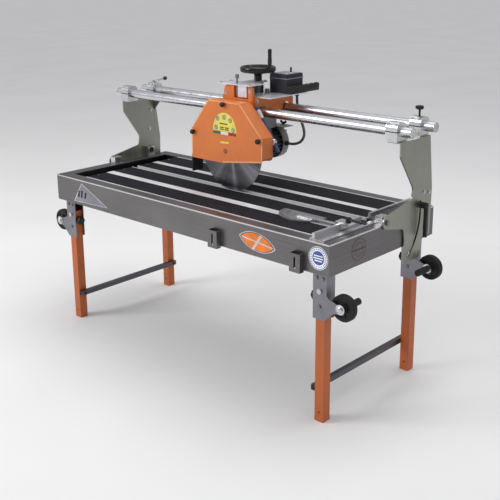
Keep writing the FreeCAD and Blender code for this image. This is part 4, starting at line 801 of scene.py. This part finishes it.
class BridgeDetails(bpy.types.Operator):
    """Makes the screws, caps, knobs and tilt scales of the bridge"""

    bl_idname = "cutter.bridge_details"
    bl_label = "Bridge Details"

    def execute(self, context):
        sizes = context.scene.cutter_sizes
        screws = Mould()
        splits = Mould()
        caps = Mould()
        for side in (-1, 1):
            for y in TUBE_ROWS:
                for dx in (-16, 16):
                    for dy in (-22, 22):
                        screws.socket("z", (side * CLAMP_X + dx, y + dy), sizes.screw / MM, 357, 367)
                for near, far in ((-31.4, -20), (20, 31.4)):
                    splits.block((side * CLAMP_X - 26.3, y + near, TUBE_Z - 1.8),
                                 (side * CLAMP_X + 26.3, y + far, TUBE_Z + 1.8))
                out = side * 847
                caps.lathe("x", (y, TUBE_Z), [(0, out - side * 3), (8, out - side * 3), (9, out - side * 0.2),
                                           (15, out - side * 0.2), (15.9, out - side * 1.5),
                                           (15.9, out - side * 12), (0, out - side * 12)])
        screws.make("clamp_screws", "bolt_zinc", "bridge", "zinc")
        splits.make("clamp_splits", "ink", "bridge", "black_plastic")
        caps.make("tube_caps", "cap_plastic", "bridge", "satin_aluminium")
        for name, side in SIDES.items():
            bolts = Mould()
            out = side * 808
            for y, z in ((246, 78), (284, 70), (262, -70), (150, -150)):
                bolts.hexagon("x", (y, z), sizes.bolt / MM, out, out + side * 4.5)
            inner = side * 802
            for y, z in ((236, 134), (250, 230)):
                bolts.hexagon("x", (y, z), sizes.bolt / MM, inner, inner - side * 4.5)
            bolts.make(f"upright_bolts_{name}", "bolt_zinc", "bridge", "zinc")
            scale = Mould()
            scale.arc_ticks("x", (0, 6), 204, (out, out + side * 0.3), -44, 6, 1.5, 11, 0.8)
            scale.make(f"tilt_scale_{name}", "ink", "bridge", "black_plastic")
            stud = Mould()
            stud.lathe("x", TILT_STUD, [
                (0, side * 842), (7, side * 842), (13, side * 838), (13, side * 828), (12, side * 822),
                (13, side * 818), (13, side * 812), (0, side * 812)])
            tip = 29.6 - 120
            stud.slab([(216.8, 29.6), (232.8, 29.6), (231.8, tip + 26), (232.8, tip), (229, tip - 7.5),
                       (220.6, tip - 7.5), (216.8, tip), (217.8, tip + 26)], "x",
                      min(side * 828, side * 841.9), max(side * 828, side * 841.9), 3.2, 3)
            stud.make(f"tilt_grip_{name}", "black_plastic", f"{name}_tilt_lever", "black_plastic",
                      [f"tilt_lever_{name}"])
            collar = Mould()
            collar.lathe("x", TILT_STUD, [
                (0, side * 784), (13, side * 784), (14, side * 782.8), (14, side * 777), (12.5, side * 775.5),
                (0, side * 775)], steps=36)
            collar.make(f"stud_collar_{name}", "black_plastic", "table", "black_plastic")
        tubes = Mould()
        rings = 18
        outside = [(20, -846 + 1692 * k / rings) for k in range(rings + 1)]
        for y in TUBE_ROWS:
            tubes.lathe("x", (y, TUBE_Z), outside + [
                (19.2, 847), (16, 847), (16, -847), (19.2, -847), outside[0]], steps=64)
        tubes.make("polished_tubes", "chrome", "bridge", "chrome_tube", ["bridge_tubes"])
        star = Mould()
        star.lathe("z", (CLAMP_X, TUBE_ROWS[1]), [
            (0, 371), (4, 371), (4, 394.5), (8.5, 395), (15.5, 399), (17, 402.5), (17, 407), (15, 410),
            (10, 411), (0, 410.4)], steps=60, lobes=5, depth=0.16, lobe_from=9)
        star.make("star_grip", "black_plastic", "star", "black_plastic", ["star_knob"])
        return {"FINISHED"}


class LegDetails(bpy.types.Operator):
    """Makes the feet, lock knobs, nuts and wheel trims of the legs"""

    bl_idname = "cutter.leg_details"
    bl_label = "Leg Details"

    def execute(self, context):
        sizes = context.scene.cutter_sizes
        nuts = Mould()
        hubs = Mould()
        for side_name, side in SIDES.items():
            feet = Mould()
            locks = Mould()
            for end, y in ENDS.items():
                x = side * LEG_X
                feet.block((x - 17.3, y - 17.3, -707.6), (x + 17.3, y + 17.3, -695), 1)
                face = side * 722
                locks.lathe("x", (y, -218), [
                    (0, face - side * 29.5), (9, face - side * 30), (17, face - side * 28),
                    (20, face - side * 23), (20, face - side * 13), (17, face - side * 9),
                    (11, face - side * 6), (11, face), (5, face), (5, face + side * 34),
                    (0, face + side * 34)], steps=60, lobes=6, depth=0.12, lobe_from=15)
                outer = y - 24.5
                for dx, z in ((-14, -141), (14, -141), (0, -249)):
                    nuts.hexagon("y", (x + dx, z), sizes.bolt / MM, outer, outer - 4.5)
                    nuts.hexagon("y", (x + dx, z), sizes.bolt / MM, y + 24.5, y + 29)
                wheel = side * WHEEL_X
                hubs.lathe("y", (wheel, WHEEL_Z), [
                    (0, outer), (19, outer), (19, outer - 1.5), (12, outer - 2), (12, outer - 7),
                    (10, outer - 9), (5, outer - 10), (0, outer - 10)], steps=36)
                trim = Mould()
                trim.lathe("y", (wheel, WHEEL_Z), [
                    (22.2, y - 14.4), (22.2, y - 8), (33, y - 8.4), (34.5, y - 12.3), (36, y - 12.6),
                    (36.3, y - 7)], steps=48)
                for k in range(5):
                    angle = 2 * math.pi * k / 5
                    cx, cz = wheel + 28 * math.cos(angle), WHEEL_Z + 28 * math.sin(angle)
                    trim.disc("y", (cx, cz), 4.2, y - 11.5, y + 11.5, 0.8, sides=20)
                trim.make(f"wheel_trim_{end}_{side_name}", "black_plastic", f"{end}_{side_name}_wheel",
                          "wheel_rubber")
            feet.make(f"foot_plugs_{side_name}", "black_plastic", f"{side_name}_leg_frame", "black_plastic")
            locks.make(f"lock_grips_{side_name}", "black_plastic", f"{side_name}_locks", "black_plastic",
                       [f"{side_name}_lock_knobs"])
            ends = Mould()
            bar = side * 712
            for y in (-308, 298):
                inner = 1 if y < 0 else -1
                ends.block((bar - 7.8, min(y + inner * 0.3, y + inner * 10), -588.8),
                           (bar + 7.8, max(y + inner * 0.3, y + inner * 10), -571.2), 1)
            for end, y in ENDS.items():
                ends.disc("x", (y, -580), 7, side * 702.2, side * 700, 0.8, sides=24)
            ends.make(f"crossbar_ends_{side_name}", "black_plastic", f"{side_name}_leg_frame", "black_plastic")
        nuts.make("bracket_nuts", "zinc", "table", "zinc")
        hubs.make("hub_nuts", "chrome", "table", "zinc")
        return {"FINISHED"}


class CarriageDetails(bpy.types.Operator):
    """Makes the switch lid, push grip, handwheel and bolts of the carriage"""

    bl_idname = "cutter.carriage_details"
    bl_label = "Carriage Details"

    def execute(self, context):
        sizes = context.scene.cutter_sizes
        # The lid is drawn a lighter grey than the black box: painted sheen where light falls on the box's top.
        lid = Mould(HEAD)
        lid.block((37, 201, 462), (139, 309, 466), 1.2)
        lid.slab([(44, 208), (132, 208), (132, 302), (44, 302)], "z", 482.2, 484.6, 1.2)
        lid.make("switch_lid", "lid_plastic", "carriage", "black_plastic")
        ring = Mould(HEAD)
        ring.lathe("z", (108, 262), [(10.3, 482), (10.8, 487.2), (9, 488), (5.5, 488), (5, 487.2), (0, 487.1)],
                   steps=36)
        for x, y in ((50, 214), (126, 214), (50, 296), (126, 296)):
            ring.socket("z", (x, y), 3.4, 484.3, 486.2)
        ring.make("switch_ring", "cap_plastic", "carriage", "black_plastic")
        grip = Mould(HEAD)
        outline = [(196, 403), (385.5, 403), (386, 430)]
        outline += [(386 - 190 * k / 36, 433.2 + 2.6 * math.cos(2 * math.pi * k / 36 * 6)) for k in range(37)]
        grip.slab(outline, "x", 142.2, 165.8, 1.6, 2)
        grip.make("push_handle", "black_plastic", "carriage", "black_rubber", ["push_grip"])
        wheel = Mould(HEAD)
        wheel.lathe("z", (0, 170), [
            (7.6, 452.4), (15, 452.4), (17, 454), (17, 474), (20, 478), (30, 482), (42, 486.5), (56, 488.8),
            (63, 488.6), (70, 488.3), (75.5, 491.5), (78, 498), (78, 505), (75.8, 510.5), (71.5, 513),
            (66.5, 512.2), (63, 508.5), (60.5, 502), (56, 498), (42, 495), (30, 494), (20, 494.5),
            (16, 497), (12, 498), (7.6, 498), (7.6, 452.4)], steps=72)
        wheel.make("handwheel_moulding", "gloss_plastic", "hand_wheel", "black_plastic", ["handwheel"])
        handle = Mould(HEAD)
        handle.lathe("z", (68, 170), [
            (0, 515), (5, 515), (5.4, 518), (7.4, 522), (8.8, 530), (9, 540), (8.4, 552), (7.9, 562),
            (8.2, 572), (8.9, 580), (8.6, 585), (6.5, 589.4), (3, 591), (0, 591)], steps=36)
        handle.make("handwheel_handle", "gloss_plastic", "wheel_grip", "black_plastic", ["handwheel_grip"])
        bolts = Mould(HEAD)
        size = sizes.bolt / MM
        for side in (-1, 1):
            face = side * 95
            for y, z in ((132, 390), (208, 390), (60, 382), (280, 382)):
                bolts.hexagon("x", (y, z), size * 0.9, face, face + side * 4)
        for x, z in ((-58, 372), (78, 368), (-58, 408), (78, 425)):
            bolts.hexagon("y", (x, z), size * 0.9, 34, 30.5)
        for x in (-84, 84):
            bolts.hexagon("y", (x, 386), size * 0.9, 292, 295.5)
        for x, y in ((-80, 76), (80, 130), (-80, 290), (20, 292)):
            bolts.hexagon("z", (x, y), size * 0.9, 402, 405.5)
        for x, y in ((-90, 34), (-90, 98), (76, 34), (76, 98), (-26, 186), (26, 186)):
            bolts.hexagon("z", (x, y), size * 0.85, 451, 454)
        bolts.make("carriage_bolts", "bolt_zinc", "carriage", "zinc")
        glands = Mould(HEAD)
        glands.lathe("z", (115, 295), [(0, 382), (8, 382), (9, 384), (9, 388), (11, 389), (11, 396),
                                       (0, 397.8)], steps=24)
        glands.lathe("x", (170, 366), [(0, -95), (12, -95), (12, -99), (11, -100), (11, -106), (9.5, -107),
                                       (0, -107)], steps=24)
        glands.make("carriage_glands", "black_plastic", "carriage", "black_plastic")
        return {"FINISHED"}


class HeadDetails(bpy.types.Operator):
    """Makes the guard's folded edge as a lighter strip of painted highlight, labels and knobs, the cowl's
    grille, and the hoses
    """

    bl_idname = "cutter.head_details"
    bl_label = "Head Details"

    def execute(self, context):
        sizes = context.scene.cutter_sizes
        knobs = Mould(HEAD)
        for x, z in ((-9, 371), (-194, 234), (190, 239)):
            knobs.lathe("y", (x, z), [
                (0, -52), (5, -52), (9, -51), (11, -48.5), (11, -41), (9.5, -38.5), (6, -37.5), (6, -34),
                (0, -34)], steps=60, lobes=6, depth=0.14, lobe_from=8)
        knobs.make("guard_grips", "black_plastic", "head", "black_plastic", ["guard_knobs"])
        # A lighter orange strip just inside the guard's outline: a painted highlight on the folded edge.
        edge = Mould(HEAD)
        outline = [(-208, 118), (-208, 250), (-103, 384), (81, 384), (208, 250), (208, 150), (-23, 118)]
        for one, two in zip(outline, outline[1:]):
            a, b = Vector(one), Vector(two)
            way = (b - a).normalized()
            inward = Vector((way.y, -way.x))
            a, b = a + way * 4, b - way * 4
            points = [a + inward * 0.5, b + inward * 0.5, b + inward * 7, a + inward * 7]
            edge.slab([tuple(p) for p in points], "y", -34.7, -33.9, 0.3)
        edge.make("guard_edge", "edge_paint", "head", "orange_paint")
        front, skin = -34, 0.3
        label = Mould(HEAD)
        label.slab([(-7 + 69 * math.cos(math.radians(9 * k)), 256 + 80 * math.sin(math.radians(9 * k)))
                    for k in range(21)], "y", front, front - skin)
        label.slab([(-30, 203), (14, 205), (18, 209), (14, 213), (-26, 212), (-36, 208)], "y", front,
                   front - skin)
        label.make("guard_label", "yellow_label", "head", "orange_paint")
        for name, low, high, material in (
            ("guard_strip_left", -76, -30, "green_label"), ("guard_strip_middle", -30, 14, "white_label"),
            ("guard_strip_right", 14, 60, "red_label"),
        ):
            strip = Mould(HEAD)
            strip.slab([(low, 242), (high, 242), (high, 254), (low, 254)], "y", front, front - skin)
            strip.make(name, material, "head", "orange_paint")
        signs = Mould(HEAD)
        for x, z in ((-46, 308), (-8, 316), (28, 306), (-56, 270), (44, 266)):
            signs.lathe("y", (x, z), [(10, front - skin), (10, front - 1.5 * skin), (6, front - 1.5 * skin),
                                      (6, front - skin), (10, front - skin)], steps=24)
            signs.disc("y", (x, z), 3.4, front - skin, front - 1.5 * skin, sides=12)
        signs.make("guard_signs", "blue_label", "head", "laser_body")
        lines = Mould(HEAD)
        for x, z, half in ((-12, 288, 22), (-22, 272, 11), (6, 272, 11), (-22, 264, 11), (6, 264, 11)):
            lines.slab([(x - half, z - 2.4), (x + half, z - 2.4), (x + half, z + 2.4), (x - half, z + 2.4)],
                       "y", front - skin, front - 1.5 * skin)
        lines.make("guard_lines", "ink", "head", "black_plastic")
        plug = Mould(HEAD)
        plug.lathe("y", (-4, BLADE_Z), [(0, front - 2.4), (9, front - 2.4), (11, front - 1), (11, front),
                                        (0, front)], steps=32)
        plug.make("guard_plug", "dark_orange", "head", "orange_paint")
        grille = Mould(HEAD)
        for radius in (20, 32, 44, 56):
            grille.lathe("y", (0, BLADE_Z), [(radius, 301.9), (radius, 302.6), (radius + 5, 302.6),
                                         (radius + 5, 301.9), (radius, 301.9)])
        for k in range(8):
            angle = math.pi * k / 4
            c, s = math.cos(angle), math.sin(angle)
            points = [(out * c - half * s, BLADE_Z + out * s + half * c)
                      for out, half in ((14, 2), (61, 2), (61, -2), (14, -2))]
            grille.slab(points, "y", 301.9, 302.9)
        grille.make("cowl_grille", "black_paint", "head", "black_motor")
        self.make_laser()
        bolts = Mould(HEAD)
        size = sizes.bolt / MM
        for x, z in ((-150, 250), (150, 250), (-120, 300), (120, 300)):
            bolts.hexagon("y", (x, z), size * 0.8, 30, 34)
        for k in range(4):
            angle = math.radians(45 + 90 * k)
            bolts.hexagon("y", (38 * math.cos(angle), BLADE_Z + 38 * math.sin(angle)), size * 0.7, 30, 33.5)
            bolts.hexagon("y", (68 * math.cos(angle), BLADE_Z + 68 * math.sin(angle)), 3, 302, 300)
        for x in (-50, 50):
            bolts.hexagon("y", (x, 280), size * 0.9, 122, 118)
        bolts.make("head_bolts", "bolt_zinc", "head", "zinc")
        plate = Mould(HEAD)
        plate.slab([(-50, 226), (98, 226), (98, 292), (60, 298), (-50, 298)], "z", 247.2, 249.6, 0.8)
        plate.make("motor_hood", "cowl_paint", "head", "motor_cowl")
        wing = Mould(HEAD)
        wing.lathe("z", (45, 286), [(0, 249.6), (6, 249.6), (6, 256), (0, 258)], steps=24)
        wing.slab([(29, 256), (38, 253), (52, 253), (61, 256), (63, 264), (58, 268), (48, 259), (42, 259),
                   (32, 268), (27, 264)], "y", 283, 289, 1.4, 2)
        wing.make("wing_knob", "black_plastic", "head", "black_plastic")
        fittings = Mould(HEAD)
        fittings.lathe("x", (270, 171), [(0, 74), (11, 74), (11, 80), (9, 82), (9, 88), (0, 88)], steps=24)
        fittings.lathe("y", (-178, 226), [(0, 30), (14, 30), (14, 33), (12.5, 34), (12.5, 41), (0, 41)],
                       steps=24)
        fittings.make("head_fittings", "black_plastic", "head", "black_plastic")
        lead = [(75, 270, 171), (101, 270, 170), (133, 271, 174), (163, 274, 190), (173, 280, 221),
                (159, 286, 254), (137, 291, 286), (121, 294, 326), (115, 295, 364), (115, 295, 397.8)]
        hose_piece("motor_cable", HEAD, lead, sizes.lead, "lead_rubber", "motor_lead")
        hose = [(-178, 30, 226), (-178, 70, 226), (-192, 104, 236), (-216, 126, 260), (-232, 142, 296),
                (-226, 154, 332), (-200, 164, 356), (-160, 170, 366), (-95, 170, 366)]
        hose_piece("coolant_hose", HEAD, hose, sizes.hose, "tyre_rubber", "water_hose")
        return {"FINISHED"}

    def make_laser(self):
        """The line laser's barrel, its pale top, its dark ends and its bright clamp."""
        top, foot = Vector((108, 44, 362)), Vector((232, 44, 178))
        pale_from, clamp_at = 0.76, 0.26
        reach = (top - foot).length
        turn = Matrix.Translation(foot) @ (top - foot).to_track_quat("Z", "Y").to_matrix().to_4x4()
        for name, material, slot, profile in (
            ("laser_barrel", "laser_blue", "laser_body",
             [(0, 10), (8.4, 10), (8.4, pale_from * reach), (0, pale_from * reach)]),
            ("laser_head", "laser_white", "satin_aluminium",
             [(0, pale_from * reach), (8.8, pale_from * reach), (8.8, reach - 14), (0, reach - 14)]),
            ("laser_ends", "laser_blue", "black_plastic",
             [(0, reach - 14), (7.4, reach - 14), (8.2, reach - 10), (8.2, reach - 1.5), (7, reach),
              (0, reach)]),
            ("laser_lens", "ink", "black_plastic",
             [(0, 0.5), (6.8, 0.5), (8, 2), (8, 10), (0, 10)]),
        ):
            part = Mould(HEAD)
            part.lathe("z", (0, 0), profile, steps=32)
            part.lean(turn)
            piece = part.make(name, material, "head", slot)
            if name == "laser_barrel":
                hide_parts("line_laser")
        clamp = Mould(HEAD)
        at = clamp_at * reach
        clamp.lathe("z", (0, 0), [(8.6, at - 9), (12.5, at - 9), (13.5, at - 7), (13.5, at + 7),
                                  (12.5, at + 9), (8.6, at + 9), (8.6, at - 9)], steps=32)
        clamp.lean(turn)
        middle = foot + (top - foot) * clamp_at
        clamp.block((middle.x - 12, 30.2, middle.z - 11), (middle.x + 12, 33, middle.z + 11), 0.8)
        clamp.block((middle.x - 7, 33, middle.z - 7), (middle.x + 7, 36, middle.z + 7), 0.8)
        clamp.lathe("y", (middle.x - 20, middle.z + 2), [(0, 30.2), (6, 30.2), (6, 38), (4, 40), (0, 40)],
                    steps=20)
        clamp.make("laser_clamp", "bright_cast", "head", "bright_cast")


class PumpDetails(bpy.types.Operator):
    """Makes the lid, ribs and outlet of the water pump"""

    bl_idname = "cutter.pump_details"
    bl_label = "Pump Details"

    def execute(self, context):
        lid = Mould()
        lid.slab([(-731, 67), (-659, 67), (-659, 173), (-731, 173)], "z", -50, -46, 1.5)
        lid.lathe("z", (-695, 145), [(0, -46), (11, -46), (11, -38), (8, -36), (8, -26), (6, -25), (0, -25)],
                  steps=28)
        for k in range(6):
            y = 76 + 8 * k
            lid.block((-722, y, -46.2), (-668, y + 3.5, -43), 0.8)
        lid.make("pump_lid", "black_plastic", "table", "black_plastic")
        return {"FINISHED"}


class CutterPanel(bpy.types.Panel):
    """Lists the steps that dress the tile cutter"""

    bl_idname = "CUTTER_PT_steps"
    bl_label = "Tile Cutter"
    bl_space_type = "VIEW_3D"
    bl_region_type = "UI"
    bl_category = "Tile Cutter"

    def draw(self, context):
        for group in (context.scene.cutter_sizes, context.scene.cutter_colours):
            for name in group.bl_rna.properties.keys():
                if name not in {"rna_type", "name"}:
                    self.layout.prop(group, name)
        for step in STEPS:
            self.layout.operator(step.bl_idname)


STEPS = (Stage, Finishes, TrayTrim, BridgeDetails, LegDetails, CarriageDetails, HeadDetails, PumpDetails)
CLASSES = (CutterSizes, CutterColours, *STEPS, CutterPanel)


def register():
    for one in CLASSES:
        bpy.utils.register_class(one)
    bpy.types.Scene.cutter_sizes = bpy.props.PointerProperty(type=CutterSizes)
    bpy.types.Scene.cutter_colours = bpy.props.PointerProperty(type=CutterColours)


def unregister():
    del bpy.types.Scene.cutter_colours
    del bpy.types.Scene.cutter_sizes
    for one in reversed(CLASSES):
        bpy.utils.unregister_class(one)


def main():
    register()
    bpy.ops.cutter.stage()
    bpy.ops.cutter.finishes()
    bpy.ops.cutter.tray_trim()
    bpy.ops.cutter.bridge_details()
    bpy.ops.cutter.leg_details()
    bpy.ops.cutter.carriage_details()
    bpy.ops.cutter.head_details()
    bpy.ops.cutter.pump_details()


if __name__ == "__main__":
    main()
